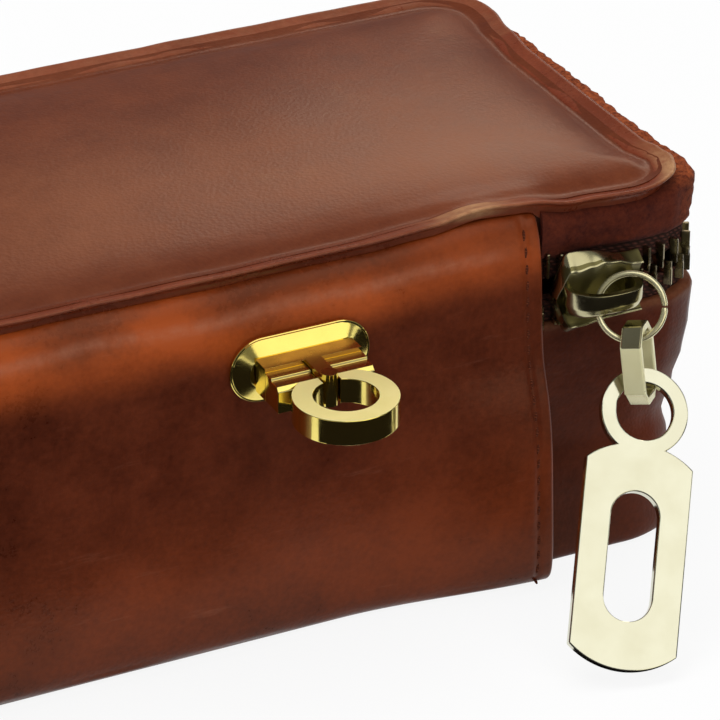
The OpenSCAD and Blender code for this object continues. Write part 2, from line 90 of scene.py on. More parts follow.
# The boards seen from above, half the flap's width, and the length of the boards' outline, called the rim.
HALF_W = 117.0
HALF_D = 40.5
BOARD_R = 9.0
HALF_FLAP = 90.0
STRAIGHT_X = HALF_W - BOARD_R
STRAIGHT_Y = HALF_D - BOARD_R
ARC = BOARD_R * math.pi / 2
RIM = 4 * (STRAIGHT_X + STRAIGHT_Y + ARC)

# The heights of the base wall's folded top, of the welt's middle and of the lid's leather beside it.
WALL_TOP = 46.0
WELT_Z = 68.0
LID_TOP = 68.6

# How thick each sheet is. The bands are the suede gusset and the strip that hinges the lid.
FLAP_THICK = 2.3
WALL_THICK = 1.2
BAND_THICK = 0.9
TAPE_THICK = 0.7

# The flap's stitches run this far to each side of its middle, this far apart.
STITCH_X = 87.0
STITCH_PITCH = 2.9

# The zip's height, where it starts and ends along the rim, and the distance between two teeth of a row.
ZIP_Z = 52.5
ZIP_START = 91.5
ZIP_BACK = 30.5
ZIP_END = STRAIGHT_X + ARC + STRAIGHT_Y + ZIP_BACK
TOOTH_PITCH = 2.05

# The turn ring's treads lie behind this y, and their risers above this height.
CHEEK_FRONT = -58.0
TREAD_LOW = 53.5


# ---- small helpers

def ease(t):
    """0 to 1 with soft ends."""
    t = min(1.0, max(0.0, t))
    return t * t * (3 - 2 * t)


def bell(x, middle, width):
    """1 at the middle, falling off softly to either side."""
    return math.exp(-((x - middle) / width) ** 2)


def through(points, t):
    """A smooth curve through the points, for t from 0 to 1. A point may have any number of values."""
    last = len(points) - 1
    at = min(max(t, 0.0), 1.0) * last
    i = min(int(at), last - 1)
    f = at - i
    p1 = points[i]
    p2 = points[i + 1]
    p0 = points[i - 1] if i > 0 else p1
    p3 = points[i + 2] if i + 2 <= last else p2
    out = []
    for a, b, c, d in zip(p0, p1, p2, p3):
        out.append(0.5 * (2 * b + (c - a) * f + (2 * a - 5 * b + 4 * c - d) * f * f
                          + (3 * b - a - 3 * c + d) * f * f * f))
    return out


def lookup(table, x):
    """A soft step from one value to the next, in a table of (place, value)."""
    if x <= table[0][0]:
        return table[0][1]
    for (x0, y0), (x1, y1) in zip(table, table[1:]):
        if x <= x1:
            return y0 + (y1 - y0) * ease((x - x0) / (x1 - x0))
    return table[-1][1]


def rim(s):
    """The rim's point at distance s from the front's middle, counted to the right, and its way outward."""
    s = s % RIM
    x, y, turn = 0.0, -HALF_D, 0.0
    for length in (STRAIGHT_X, ARC, 2 * STRAIGHT_Y, ARC, 2 * STRAIGHT_X,
                   ARC, 2 * STRAIGHT_Y, ARC, STRAIGHT_X):
        part = min(s, length)
        if length == ARC:
            end = turn + part / BOARD_R
            x += BOARD_R * (math.sin(end) - math.sin(turn))
            y -= BOARD_R * (math.cos(end) - math.cos(turn))
            turn = end
        else:
            x += part * math.cos(turn)
            y += part * math.sin(turn)
        s -= part
        if s <= 1e-9:
            break
    return x, y, math.sin(turn), -math.cos(turn)


def on_rim(s, offset, z):
    """The point at height z that stands offset outside the rim at distance s."""
    x, y, nx, ny = rim(s)
    return Vector((x + nx * offset, y + ny * offset, z))


def along(s):
    """Distance from the middle of the front, the same on the left and on the right."""
    s = s % RIM
    return min(s, RIM - s)


def nearest_rim(x, y):
    """The distance round the rim of its point nearest to (x, y)."""
    ax, ay = abs(x), abs(y)
    if ax <= STRAIGHT_X and (HALF_D - ay) <= (HALF_W - ax):
        s = ax
    elif ay <= STRAIGHT_Y:
        s = STRAIGHT_X + ARC + (STRAIGHT_Y - ay)
    else:
        turn = math.atan2(max(ax - STRAIGHT_X, 0.0), max(ay - STRAIGHT_Y, 1e-6))
        s = STRAIGHT_X + BOARD_R * turn
    if y > 0:
        s = RIM / 2 - s
    return s if x >= 0 else RIM - s


def rough(point, size, depth):
    """Soft unevenness, as hand work has: hollows about size across and up to depth deep."""
    return depth * noise.noise(Vector(point) / size)


# ---- making pieces

def skin(place, across, around):
    """A mesh whose points are place(u, v), with u and v from 0 to 1."""
    bm = bmesh.new()
    bmesh.ops.create_grid(bm, x_segments=across, y_segments=around, size=1)
    for vert in bm.verts:
        vert.co = place((vert.co.x + 1) / 2, (vert.co.y + 1) / 2)
    bmesh.ops.remove_doubles(bm, verts=bm.verts, dist=0.002)
    return bm


def face_outward(bm):
    """Turns every face of a closed mesh outward."""
    bmesh.ops.recalc_face_normals(bm, faces=bm.faces)


def closed_skin(place, across, around):
    """A skin with its open ends capped."""
    bm = skin(place, across, around)
    edges = [e for e in bm.edges if e.is_boundary]
    bmesh.ops.holes_fill(bm, edges=edges, sides=0)
    face_outward(bm)
    return bm


def rectangle(size, middle):
    """A level rectangle of the given width and depth."""
    bm = bmesh.new()
    bmesh.ops.create_grid(bm, x_segments=1, y_segments=1, size=1)
    bmesh.ops.scale(bm, vec=(size[0] / 2, size[1] / 2, 1), verts=bm.verts)
    bmesh.ops.translate(bm, vec=middle, verts=bm.verts)
    return bm


def block(size, middle):
    """A box with its three sizes and its middle."""
    bm = bmesh.new()
    bmesh.ops.create_cube(bm, size=1)
    bmesh.ops.scale(bm, vec=size, verts=bm.verts)
    bmesh.ops.translate(bm, vec=middle, verts=bm.verts)
    return bm


def new_verts(made):
    """The points among what an extrusion made."""
    return [g for g in made["geom"] if isinstance(g, bmesh.types.BMVert)]


def soften(bm, edges, width, segments, clamp=False):
    """Rounds edges to the given width. With clamp, no rounding runs into the next."""
    bmesh.ops.bevel(bm, geom=edges, offset=width, affect="EDGES", segments=segments, profile=0.5,
                    material=-1, clamp_overlap=clamp)


def to_mesh(bm, name):
    """Stores a working mesh and frees it."""
    mesh = bpy.data.meshes.new(name)
    bm.to_mesh(mesh)
    bm.free()
    return mesh


def join(whole, part):
    """Adds one working mesh to another and frees it."""
    mesh = to_mesh(part, "part")
    whole.from_mesh(mesh)
    bpy.data.meshes.remove(mesh)


def add_object(name, data):
    """Puts a mesh, a light or the camera into the scene."""
    obj = bpy.data.objects.new(name, data)
    bpy.context.scene.collection.objects.link(obj)
    return obj


def sheet_section(face, thick, u, ends=0.03):
    """A point on a sheet's closed section: along its face, round the cut edge, back and round again."""
    half = 0.5 - ends
    if u <= half:
        t, side = u / half, 0.0
    elif u <= 0.5:
        t, side = 1.0, (u - half) / ends
    elif u <= 0.5 + half:
        t, side = 1 - (u - 0.5) / half, 1.0
    else:
        t, side = 0.0, 1 - (u - 0.5 - half) / ends
    a = Vector(face(max(0.0, t - 0.004)))
    b = Vector(face(min(1.0, t + 0.004)))
    run = (b - a).normalized()
    inward = Vector((run.y, -run.x))
    here = Vector(face(t))
    middle = here + inward * (thick / 2)
    angle = math.pi * side
    bulge = math.sin(angle) * (1 if t > 0.5 else -1)
    return middle - inward * (thick / 2) * math.cos(angle) + run * bulge * (thick / 2)


def band_section(points, thick, u):
    """The same for a sheet whose face runs through the points."""
    return sheet_section(lambda t: through(points, t), thick, u)


def add_piece(bm, name, materials, body, slot, sharp):
    """Turns a mesh in millimetres into a finished piece, on its body if one is given."""
    bmesh.ops.scale(bm, vec=(MM, MM, MM), verts=bm.verts)
    mesh = to_mesh(bm, name)
    obj = add_object(name, mesh)
    for material in materials:
        mesh.materials.append(material)
    for face in mesh.polygons:
        face.use_smooth = True
    mesh.set_sharp_from_angle(angle=math.radians(sharp))
    if body:
        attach(obj, body)
    return obj


def store_lightening(obj, amount, name="wear_and_highlight"):
    """Stores how much lighter each point is, for wear and stretch, and in places for painted highlights,
    sheen and light.
    """
    layer = obj.data.attributes.new(name, "FLOAT", "POINT")
    for i, vert in enumerate(obj.data.vertices):
        layer.data[i].value = amount(vert.co / MM)


def hand_of(side):
    """The name of a side, which is 1 or -1."""
    return "right" if side > 0 else "left"


def row_of(upper):
    """The name of a zip's row, and the body that it moves with."""
    return ("upper", "lid") if upper else ("lower", "base")


def mirrored(bm):
    """A copy on the other side of the case."""
    other = bm.copy()
    bmesh.ops.scale(other, vec=(-1, 1, 1), verts=other.verts)
    bmesh.ops.reverse_faces(other, faces=other.faces)
    return other


def bevelled_part(part, width, segments, slot_name, materials, material_for_face=None):
    """The CAD part again, with its sharp edges softened. A given function picks the material for each face,
    on the locks and the link also painting light and reflections.
    """
    source = frame["nodes"][part]
    bm = bmesh.new()
    bm.from_mesh(source.data)
    bmesh.ops.scale(bm, vec=(1 / MM, 1 / MM, 1 / MM), verts=bm.verts)
    bmesh.ops.remove_doubles(bm, verts=bm.verts, dist=0.005)
    bmesh.ops.dissolve_limit(bm, angle_limit=math.radians(1.5), verts=bm.verts, edges=bm.edges)
    edges = [e for e in bm.edges if len(e.link_faces) == 2 and e.calc_face_angle() > math.radians(30)]
    soften(bm, edges, width, segments, clamp=True)
    for face in bm.faces:
        face.material_index = material_for_face(face) if material_for_face else 0
    body = body_of(source)[0]
    obj = add_piece(bm, part + "_finished", materials, body, slot_name, 12)
    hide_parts(part)


# ---- materials

def set_values(made, values):
    """Gives a node its settings and its unlinked inputs, named with _ for a space."""
    for key, value in values.items():
        if hasattr(made, key):
            setattr(made, key, value)
        else:
            made.inputs[key.replace("_", " ")].default_value = value


def node(tree, kind, **values):
    """A new node with the values given."""
    made = tree.nodes.new(kind)
    set_values(made, values)
    return made


def noise_node(tree, vector, scale, detail=4.0, roughness=0.55, distortion=0.0):
    """Cloudy noise with scale features to a metre."""
    made = node(tree, "ShaderNodeTexNoise", Scale=scale, Detail=detail, Roughness=roughness,
                Distortion=distortion)
    tree.links.new(vector, made.inputs["Vector"])
    return made.outputs["Fac"]


def span_node(tree, value, low, high, to_low=0.0, to_high=1.0):
    """The span from low to high stretched to the span from to_low to to_high."""
    made = node(tree, "ShaderNodeMapRange", From_Min=low, From_Max=high, To_Min=to_low, To_Max=to_high)
    tree.links.new(value, made.inputs["Value"])
    return made.outputs["Result"]


def math_node(tree, operation, a, b):
    """A calculation with two values, each a number or a socket."""
    made = node(tree, "ShaderNodeMath", operation=operation)
    for socket, value in zip(made.inputs, (a, b)):
        if isinstance(value, (int, float)):
            socket.default_value = value
        else:
            tree.links.new(value, socket)
    return made.outputs["Value"]


def weighted(tree, *parts):
    """The parts added up, each a socket and its weight."""
    total = None
    for value, weight in parts:
        share = math_node(tree, "MULTIPLY", value, weight)
        total = share if total is None else math_node(tree, "ADD", total, share)
    return total


def mix_node(tree, factor, a, b):
    """Colour a where the factor is 0 and colour b where it is 1, each a socket or (red, green, blue)."""
    made = node(tree, "ShaderNodeMix", data_type="RGBA")
    for socket, value in ((made.inputs[0], factor), (made.inputs[6], a), (made.inputs[7], b)):
        if isinstance(value, tuple):
            socket.default_value = (*value, 1)
        else:
            tree.links.new(value, socket)
    return made.outputs[2]


def own_place(tree):
    """The piece's own coordinates, in metres."""
    return node(tree, "ShaderNodeTexCoord").outputs["Object"]


def stored(tree, name):
    """A value that store_lightening has stored on the piece."""
    return node(tree, "ShaderNodeAttribute", attribute_name=name).outputs["Fac"]


def start_material(name, **values):
    """A material, its nodes and its shader, with the values given and with no links yet."""
    material = bpy.data.materials.new(name)
    material.use_nodes = True
    tree = material.node_tree
    shader = tree.nodes["Principled BSDF"]
    set_values(shader, values)
    return material, tree, shader


def add_bump(tree, shader, height, strength, distance):
    """Shades the surface as if it rose with the height."""
    bump = node(tree, "ShaderNodeBump", Strength=strength, Distance=distance)
    tree.links.new(height, bump.inputs["Height"])
    tree.links.new(bump.outputs["Normal"], shader.inputs["Normal"])


def start_group(name, size, outputs):
    """An effect shared by several materials: it takes a place and the size named, and gives the outputs."""
    group = bpy.data.node_groups.new(name, "ShaderNodeTree")
    group.interface.new_socket(name="Vector", in_out="INPUT", socket_type="NodeSocketVector")
    group.interface.new_socket(name=size, in_out="INPUT", socket_type="NodeSocketFloat")
    for label in outputs:
        group.interface.new_socket(name=label, in_out="OUTPUT", socket_type="NodeSocketFloat")
    enter = group.nodes.new("NodeGroupInput").outputs
    leave = group.nodes.new("NodeGroupOutput").inputs
    return group, enter, leave


def make_hide_group():
    """Leather's grain height, its cloudy dye and its fine scuffs."""
    group, enter, leave = start_group("hide_grain", "Grain Scale", ("Height", "Cloud", "Scuff"))
    cells = node(group, "ShaderNodeTexVoronoi", feature="F1")
    group.links.new(enter["Vector"], cells.inputs["Vector"])
    group.links.new(enter["Grain Scale"], cells.inputs["Scale"])
    fine = noise_node(group, enter["Vector"], 2600.0, 3.0)
    pebbles = span_node(group, cells.outputs["Distance"], 0.0, 0.8)
    group.links.new(weighted(group, (pebbles, 0.6), (fine, 0.5)), leave["Height"])
    broad = noise_node(group, enter["Vector"], 22.0, 4.0, 0.55)
    patches = noise_node(group, enter["Vector"], 110.0, 4.0, 0.6)
    speckle = noise_node(group, enter["Vector"], 900.0, 3.0, 0.6)
    cloud = weighted(group, (broad, 0.5), (patches, 0.28), (speckle, 0.22))
    group.links.new(span_node(group, cloud, 0.4, 0.62), leave["Cloud"])
    stretch = node(group, "ShaderNodeMapping", Rotation=(0.3, 0.2, 0.4), Scale=(1.0, 1.0, 7.0))
    group.links.new(enter["Vector"], stretch.inputs["Vector"])
    marks = noise_node(group, stretch.outputs["Vector"], 60.0, 6.0, 0.7)
    group.links.new(span_node(group, marks, 0.62, 0.8), leave["Scuff"])
    return group


def make_patina_group():
    """Handling marks on metal: soft smudges and tiny pits."""
    group, enter, leave = start_group("metal_patina", "Size", ("Smudge", "Pit"))
    smudge = node(group, "ShaderNodeTexNoise", Detail=4.0)
    group.links.new(enter["Vector"], smudge.inputs["Vector"])
    group.links.new(enter["Size"], smudge.inputs["Scale"])
    group.links.new(span_node(group, smudge.outputs["Fac"], 0.35, 0.7), leave["Smudge"])
    pits = noise_node(group, enter["Vector"], 1500.0, 2.0)
    group.links.new(span_node(group, pits, 0.6, 0.8), leave["Pit"])
    return group


# The tint of leather's highlights, and the effects that materials share.
WARM_SHINE = (1.0, 0.79, 0.6, 1)
HIDE = make_hide_group()
PATINA = make_patina_group()


def place_group(tree, group, vector, **values):
    """The outputs of a shared effect, used in one material."""
    made = node(tree, "ShaderNodeGroup", node_tree=group, **values)
    tree.links.new(vector, made.inputs["Vector"])
    return made.outputs


def make_leather(name, deep, warm, worn, roughness=0.4, grain=1400.0, relief=0.12, specular=0.5,
                 pulled_and_lit=(0.3, 0.062, 0.016)):
    """Waxed leather: clouded dye, fine grain and scuffs, lighter where stretched and pale where rubbed. The
    stretch colour also carries painted sheen and painted light, and the rubbed colour painted highlights,
    where a piece stores them.
    """
    material, tree, shader = start_material(name, Specular_IOR_Level=specular, Specular_Tint=WARM_SHINE)
    place = own_place(tree)
    hide = place_group(tree, HIDE, place, Grain_Scale=grain)
    dye = mix_node(tree, hide["Cloud"], deep, warm)
    cloudy = span_node(tree, hide["Cloud"], 0.0, 1.0, 0.6, 1.1)
    # The stretch colour: pulled-up leather, and also painted sheen and painted light where a piece stores
    # them as stretch.
    uneven = math_node(tree, "MULTIPLY", stored(tree, "stretch"), cloudy)
    dye = mix_node(tree, uneven, dye, pulled_and_lit)
    scuffed = mix_node(tree, math_node(tree, "MULTIPLY", hide["Scuff"], 0.16), dye, worn)
    fray = noise_node(tree, place, 420.0, 5.0, 0.7)
    # The worn colour: rubbed places, and also painted highlights where a piece stores them as wear.
    patchy = math_node(tree, "MULTIPLY", stored(tree, "wear_and_highlight"), span_node(tree, fray, 0.3, 0.62, 0.25, 1.0))
    colour = mix_node(tree, patchy, scuffed, worn)
    tree.links.new(colour, shader.inputs["Base Color"])
    gloss = span_node(tree, hide["Cloud"], 0.0, 1.0, roughness - 0.04, roughness + 0.06)
    gloss = math_node(tree, "ADD", gloss, math_node(tree, "MULTIPLY", patchy, 0.25))
    tree.links.new(gloss, shader.inputs["Roughness"])
    add_bump(tree, shader, hide["Height"], relief, 0.0004)
    return material


def make_suede(name, deep, raised, frayed):
    """Napped leather with brushed light and dark patches, and a lighter cut edge: frayed nap, with painted
    light where the nap catches it.
    """
    material, tree, shader = start_material(name, Roughness=0.95, Specular_IOR_Level=0.15,
                                            Sheen_Weight=0.04, Sheen_Roughness=0.5)
    place = own_place(tree)
    nap = noise_node(tree, place, 1100.0, 6.0, 0.75)
    brushed = noise_node(tree, place, 120.0, 4.0, 0.6, 1.5)
    shade = weighted(tree, (nap, 0.55), (brushed, 0.5))
    colour = mix_node(tree, span_node(tree, shade, 0.38, 0.7), deep, raised)
    # The cut edge's colour is frayed nap, and also painted light where the nap catches it.
    frayed_and_lit_edge = math_node(tree, "MULTIPLY", stored(tree, "stretch"), span_node(tree, nap, 0.35, 0.65))
    tree.links.new(mix_node(tree, frayed_and_lit_edge, colour, frayed), shader.inputs["Base Color"])
    add_bump(tree, shader, shade, 0.5, 0.0004)
    return material


def make_metal(name, clean, dull, roughness, patina=180.0, relief=0.02, metallic=1.0):
    """Plated metal with handling marks."""
    material, tree, shader = start_material(name, Metallic=metallic)
    marks = place_group(tree, PATINA, own_place(tree), Size=patina)
    colour = mix_node(tree, math_node(tree, "MULTIPLY", marks["Smudge"], 0.6), clean, dull)
    tree.links.new(colour, shader.inputs["Base Color"])
    gloss = span_node(tree, marks["Smudge"], 0.0, 1.0, roughness, roughness * 1.8)
    tree.links.new(gloss, shader.inputs["Roughness"])
    add_bump(tree, shader, marks["Pit"], relief, 0.0002)
    return material


def make_weave(name, dark, light, pitch):
    """Woven cloth or twisted thread, with threads over and under at the given pitch in metres."""
    material, tree, shader = start_material(name, Roughness=0.9, Specular_IOR_Level=0.2)
    place = own_place(tree)
    waves = []
    for direction in ("Z", "DIAGONAL"):
        made = node(tree, "ShaderNodeTexWave", wave_type="BANDS", bands_direction=direction,
                    Scale=1.0 / pitch / 3.2, Distortion=0.4, Detail=1.0)
        tree.links.new(place, made.inputs["Vector"])
        waves.append(made.outputs["Fac"])
    weave = math_node(tree, "MULTIPLY", waves[0], waves[1])
    fuzz = noise_node(tree, place, 900.0, 4.0)
    height = math_node(tree, "ADD", weave, math_node(tree, "MULTIPLY", fuzz, 0.5))
    colour = mix_node(tree, span_node(tree, height, 0.2, 1.1), dark, light)
    tree.links.new(colour, shader.inputs["Base Color"])
    add_bump(tree, shader, height, 0.6, 0.0002)
    return material


def make_board(name, low, high):
    """Stiff board covered in flecked dark red-brown paper."""
    material, tree, shader = start_material(name, Roughness=0.85)
    fibre = noise_node(tree, own_place(tree), 700.0, 6.0, 0.7)
    tree.links.new(mix_node(tree, fibre, low, high), shader.inputs["Base Color"])
    add_bump(tree, shader, fibre, 0.3, 0.0003)
    return material


# Leathers: name, deep dye, warm dye, worn colour, gloss, and a stretch colour; the worn colour also paints
# highlights, and the stretch colour painted sheen and light. Suedes: name, deep nap, raised nap, cut edge,
# whose colour also paints light on the nap.
# Metals: name, clean colour, dull colour, gloss. The lower the gloss number, the shinier the surface.
TOP_HIDE = make_leather("top_leather", (0.095, 0.017, 0.0045), (0.15, 0.031, 0.008),
                        (0.42, 0.22, 0.1), 0.33, relief=0.08, specular=0.5, pulled_and_lit=(0.2, 0.062, 0.025))
WELT_HIDE = make_leather("welt_leather", (0.13, 0.021, 0.007), (0.21, 0.04, 0.014),
                         (0.5, 0.28, 0.13), 0.3, relief=0.08, specular=0.5)
FRONT_HIDE = make_leather("front_leather", (0.055, 0.0075, 0.0022), (0.148, 0.0235, 0.0055),
                          (0.5, 0.2, 0.12), 0.3, relief=0.1, specular=0.24, pulled_and_lit=(0.46, 0.08, 0.012))
DARK_HIDE = make_leather("side_leather", (0.06, 0.008, 0.0025), (0.125, 0.0195, 0.005),
                         (0.3, 0.13, 0.06), 0.38, specular=0.2)
SUEDE = make_suede("red_suede", (0.045, 0.006, 0.003), (0.15, 0.026, 0.009), (0.32, 0.075, 0.022))
LINING = make_suede("tan_suede", (0.2, 0.11, 0.06), (0.34, 0.21, 0.12), (0.34, 0.21, 0.12))
GOLD = make_metal("gold", (0.93, 0.76, 0.21), (0.84, 0.66, 0.17), 0.1)
# A paler, half-metal copy of the gold: a satin top, and a painted highlight on the turn ring's risers.
SATIN_AND_HIGHLIGHT_GOLD = make_metal("satin_gold_and_painted_highlight", (0.95, 0.84, 0.36), (0.9, 0.78, 0.3), 0.34, metallic=0.5)
WIRE_GOLD = make_metal("wire_gold", (0.86, 0.8, 0.5), (0.78, 0.7, 0.38), 0.16, metallic=0.8)
# Brown gold: a painted reflection of the leather, on the lock post's top and the turn ring's treads.
PAINTED_REFLECTION_GOLD = make_metal("gold_painted_reflection", (0.4, 0.2, 0.07), (0.26, 0.12, 0.04), 0.2)
PALE_GOLD = make_metal("pale_gold", (0.68, 0.67, 0.53), (0.62, 0.6, 0.45), 0.1)
# A pale satin copy of the gold that shows lighter: painted light on the link's sideways faces.
LIT_PALE_SATIN = make_metal("pale_satin_painted_light", (0.95, 0.9, 0.55), (0.86, 0.8, 0.44), 0.26, metallic=0.25)
BRASS = make_metal("aged_brass", (0.56, 0.52, 0.32), (0.36, 0.32, 0.16), 0.16, 110.0, 0.03)
DARK_BRASS = make_metal("dark_brass", (0.17, 0.15, 0.06), (0.09, 0.075, 0.03), 0.24, 150.0, 0.03)
TOOTH_METAL = make_metal("tooth_metal", (0.36, 0.31, 0.19), (0.13, 0.1, 0.055), 0.2, 400.0, 0.04)
TAPE_CLOTH = make_weave("zip_tape", (0.02, 0.008, 0.005), (0.1, 0.03, 0.02), 0.0007)
BOARD = make_board("covered_board", (0.1, 0.03, 0.018), (0.17, 0.06, 0.035))
THREAD = make_weave("thread", (0.08, 0.016, 0.006), (0.19, 0.045, 0.016), 0.0004)


def make_glass():
    """Silvered glass with a faint haze."""
    material, tree, shader = start_material("mirror_glass", Metallic=1.0, Roughness=0.03)
    haze = noise_node(tree, own_place(tree), 60.0, 4.0)
    colour = mix_node(tree, haze, (0.86, 0.88, 0.9), (0.92, 0.94, 0.95))
    tree.links.new(colour, shader.inputs["Base Color"])
    return material


GLASS = make_glass()


# ---- the case's shape

# Tables of (distance along the rim from the middle of the front, amount), the same on both sides.
# WELT_RISE lifts the lid's edge, TUCK pulls its padding in and FLARE lets the soft sides stand out.
WELT_RISE = ((0, 0), (57, 0), (70, 0.7), (79, 1.7), (87, 1.1), (97, -0.7), (108, -0.9), (117, 0.1),
             (130, 0))
TUCK = ((98, 0), (107, -0.7), (114, -1.2), (118, -0.2), (121, 1.2), (125, 2.3), (131, 2.6), (165, 2.5),
        (176, 1.6), (184, 0.4), (190, 0))
FLARE = ((102, 0), (106, 0.15), (109, 0.35), (110.5, 0.6), (112, 1.2), (114, 2.4), (117, 3.9), (120, 3.3),
         (126, 1.9), (140, 1.7), (158, 1.7), (175, 1.5), (186, 0.8), (196, 0))

# Tables of (height, share): how much of the flare, and how much of the wall's sinking, is felt there.
FLARE_BY_HEIGHT = ((0, 0.3), (10, 0.32), (20, 0.44), (28, 0.86), (34, 1.12), (40, 1.24), (46, 1.26),
                   (50, 1))
WAIST = ((-1, 0), (8, 0), (14, -0.05), (17.5, 0.12), (20, 0.6), (22.5, 1), (27.5, 0.84), (34.5, 0.46),
         (39, 0.22), (44, 0.08), (46, 0))


def tuck(s):
    """How far the lid's soft edge is pulled in, or at a front corner pushed out."""
    return lookup(TUCK, along(s))


def flare(s, z=60.0):
    """How far the soft sides stand out round the front corners at height z."""
    return lookup(FLARE, along(s)) * lookup(FLARE_BY_HEIGHT, z)


def welt_rise(s):
    """How far the lid's edge rises and dips where the flap's end pushes it."""
    return lookup(WELT_RISE, along(s)) + rough(on_rim(s, 0, 0), 14, 0.25)


def waist(s, z):
    """How far the soft wall sinks in at height z."""
    depth = 1.0 + 0.6 * bell(along(s), 116, 10) + bell(along(s), 193, 12)
    return depth * lookup(WAIST, z)


def make_lid_top():
    """The padded top: a shallow valley inside the welt, then a low crown."""
    reach = 0.2
    w, d, r = HALF_W + reach, HALF_D + reach, BOARD_R + reach

    def place(u, v):
        a = 2 * u - 1
        b = 2 * v - 1
        a = math.copysign(1 - (1 - abs(a)) ** 1.7, a)
        b = math.copysign(1 - (1 - abs(b)) ** 1.5, b)
        x, y = a * w, b * d
        p = (abs(x) - (w - r)) / r
        q = (abs(y) - (d - r)) / r
        if p > 0 and q > 0:
            x = math.copysign(w - r + r * p * math.sqrt(1 - q * q / 2), x)
            y = math.copysign(d - r + r * q * math.sqrt(1 - p * p / 2), y)
            edge = r - math.hypot(abs(x) - (w - r), abs(y) - (d - r))
        else:
            edge = min(w - abs(x), d - abs(y))
        edge = max(edge, 0.0)
        valley = 0.5 * bell(edge, 2.6, 1.6)
        crown = 1.25 * (1 - math.exp(-max(0.0, edge - 2.0) / 7))
        crown += 1.3 * (1 - (y / d) ** 2) * (1 - (x / w) ** 4) * ease(edge / 10)
        lip = 0.3 * math.exp(-edge / 0.9)
        side = ease(1 - edge / 9)
        s = nearest_rim(x, y)
        z = LID_TOP - valley + crown + lip + side * welt_rise(s) * 0.9
        z += rough((x, y, 0), 30, 0.35) * (1 - side)
        nx, ny = rim(s)[2:]
        pull = tuck(s) * ease(1 - edge / 16)
        return Vector((x - nx * pull, y - ny * pull, z))
    bm = skin(place, 150, 90)
    rim_edges = [e for e in bm.edges if e.is_boundary]
    made = bmesh.ops.extrude_edge_only(bm, edges=rim_edges)
    bmesh.ops.translate(bm, verts=new_verts(made), vec=(0, 0, -2.2))
    face_outward(bm)
    obj = add_piece(bm, "lid_top_padded", [TOP_HIDE], "lid", "leather", 60)
    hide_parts("lid_leather", "lid_pad")

    def burnish_and_sheen(p):
        # Painted sheen: the middle and front of the top are made lighter in the stretch colour, fading to
        # the back, the front edge and the ends, partly as burnished dye.
        depth = ease((24 - p.y) / 36) * ease((p.y + 38) / 18) * ease((HALF_W - 3 - abs(p.x)) / 14)
        return depth * (0.75 + rough(p, 24, 0.35))
    store_lightening(obj, burnish_and_sheen, "stretch")


def make_welt():
    """The folded welt round the top, with its seam hanging behind it."""
    fold = ((-1.7, 67.7), (-1.35, 68.3), (-0.5, 68.6), (0.5, 68.85), (1.5, 69.15), (2.2, 69.4), (2.6, 69.3),
            (2.68, 69), (2.4, 68.75), (1.7, 68.4), (1.2, 67.7), (1, 66.6), (1, 65.6), (0.6, 65.4),
            (0.2, 65.8), (0, 67), (-0.8, 67.3), (-1.7, 67.7))

    def place(u, v):
        s = v * RIM
        offset, z = through(fold, u)
        point = on_rim(s, offset, z)
        plump = 1 + rough(point, 7, 0.12)
        if z < WELT_Z:
            z += 1.1 * ease((WELT_Z - z) / 1.5) * ease((HALF_FLAP + 1 - along(s)) / 2)
        z = WELT_Z + (z - WELT_Z) * plump + welt_rise(s)
        offset += rough(on_rim(s, 0, 5), 11, 0.25) - tuck(s)
        return on_rim(s, offset, z)
    bm = skin(place, 36, 620)
    face_outward(bm)
    obj = add_piece(bm, "lid_welt", [WELT_HIDE], "lid", "leather", 70)
    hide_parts("lid_piping")

    def worn(p):
        s = along(nearest_rim(p.x, p.y))
        if p.y > 20:
            return 0.1
        return ease(p.z - 68.3) * (0.03 + 0.75 * max(bell(s, 78, 6), bell(s, 115, 6)))
    store_lightening(obj, worn)


def make_gusset():
    """The napped band below the welt, a little fuller than the boards."""
    front = ((0.6, 66.9), (1.7, 66.6), (2.2, 65.6), (2.2, 63.6), (2.1, 61.8), (1.9, 60.2), (1.7, 59),
             (1.1, 58.2))
    sides = ((0.2, 67), (1.6, 67.4), (2.5, 66.9), (2.5, 65.4), (2.2, 63.2), (2, 61), (1.7, 59.4),
             (1.1, 58.2))

    def place(u, v):
        s = HALF_FLAP + 0.7 + v * (RIM - 2 * HALF_FLAP - 1.4)
        side = ease((along(s) - 113) / 6) * ease((200 - along(s)) / 8)
        point = band_section(front, BAND_THICK, u)
        point = point.lerp(band_section(sides, BAND_THICK, u), side)
        lift = welt_rise(s) * ease((point.y - 62) / 5)
        here = on_rim(s, 0, point.y)
        under = ease((point.x - 0.3) / 1.2) if point.y > 65.5 else 1.0
        fuzz = rough(here, 0.9, 0.35 * side) + rough(here, 1.6, 0.2) + rough(here, 3.4, 0.4 * side)
        offset = point.x + flare(s) * under + fuzz + rough(here, 12, 0.3)
        frayed = rough(on_rim(s, 9, 0), 2.0, 0.35 * side) * ease((point.y - 64) / 3)
        return on_rim(s, offset, point.y + lift + frayed)
    bm = closed_skin(place, 44, 640)
    obj = add_piece(bm, "lid_gusset_suede", [SUEDE], "lid", "suede", 60)
    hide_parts("lid_gusset")

    def cut_edge_and_lit_nap(p):
        # Lighter along the top's cut edge and the front corner's ridge: frayed nap, and painted light where
        # the nap catches it.
        s = along(nearest_rim(p.x, p.y))
        return ease((s - 112) / 6) * max(ease((p.z - 64.8) / 1.6), 0.6 * bell(s, 116.5, 3))
    store_lightening(obj, cut_edge_and_lit_nap, "stretch")


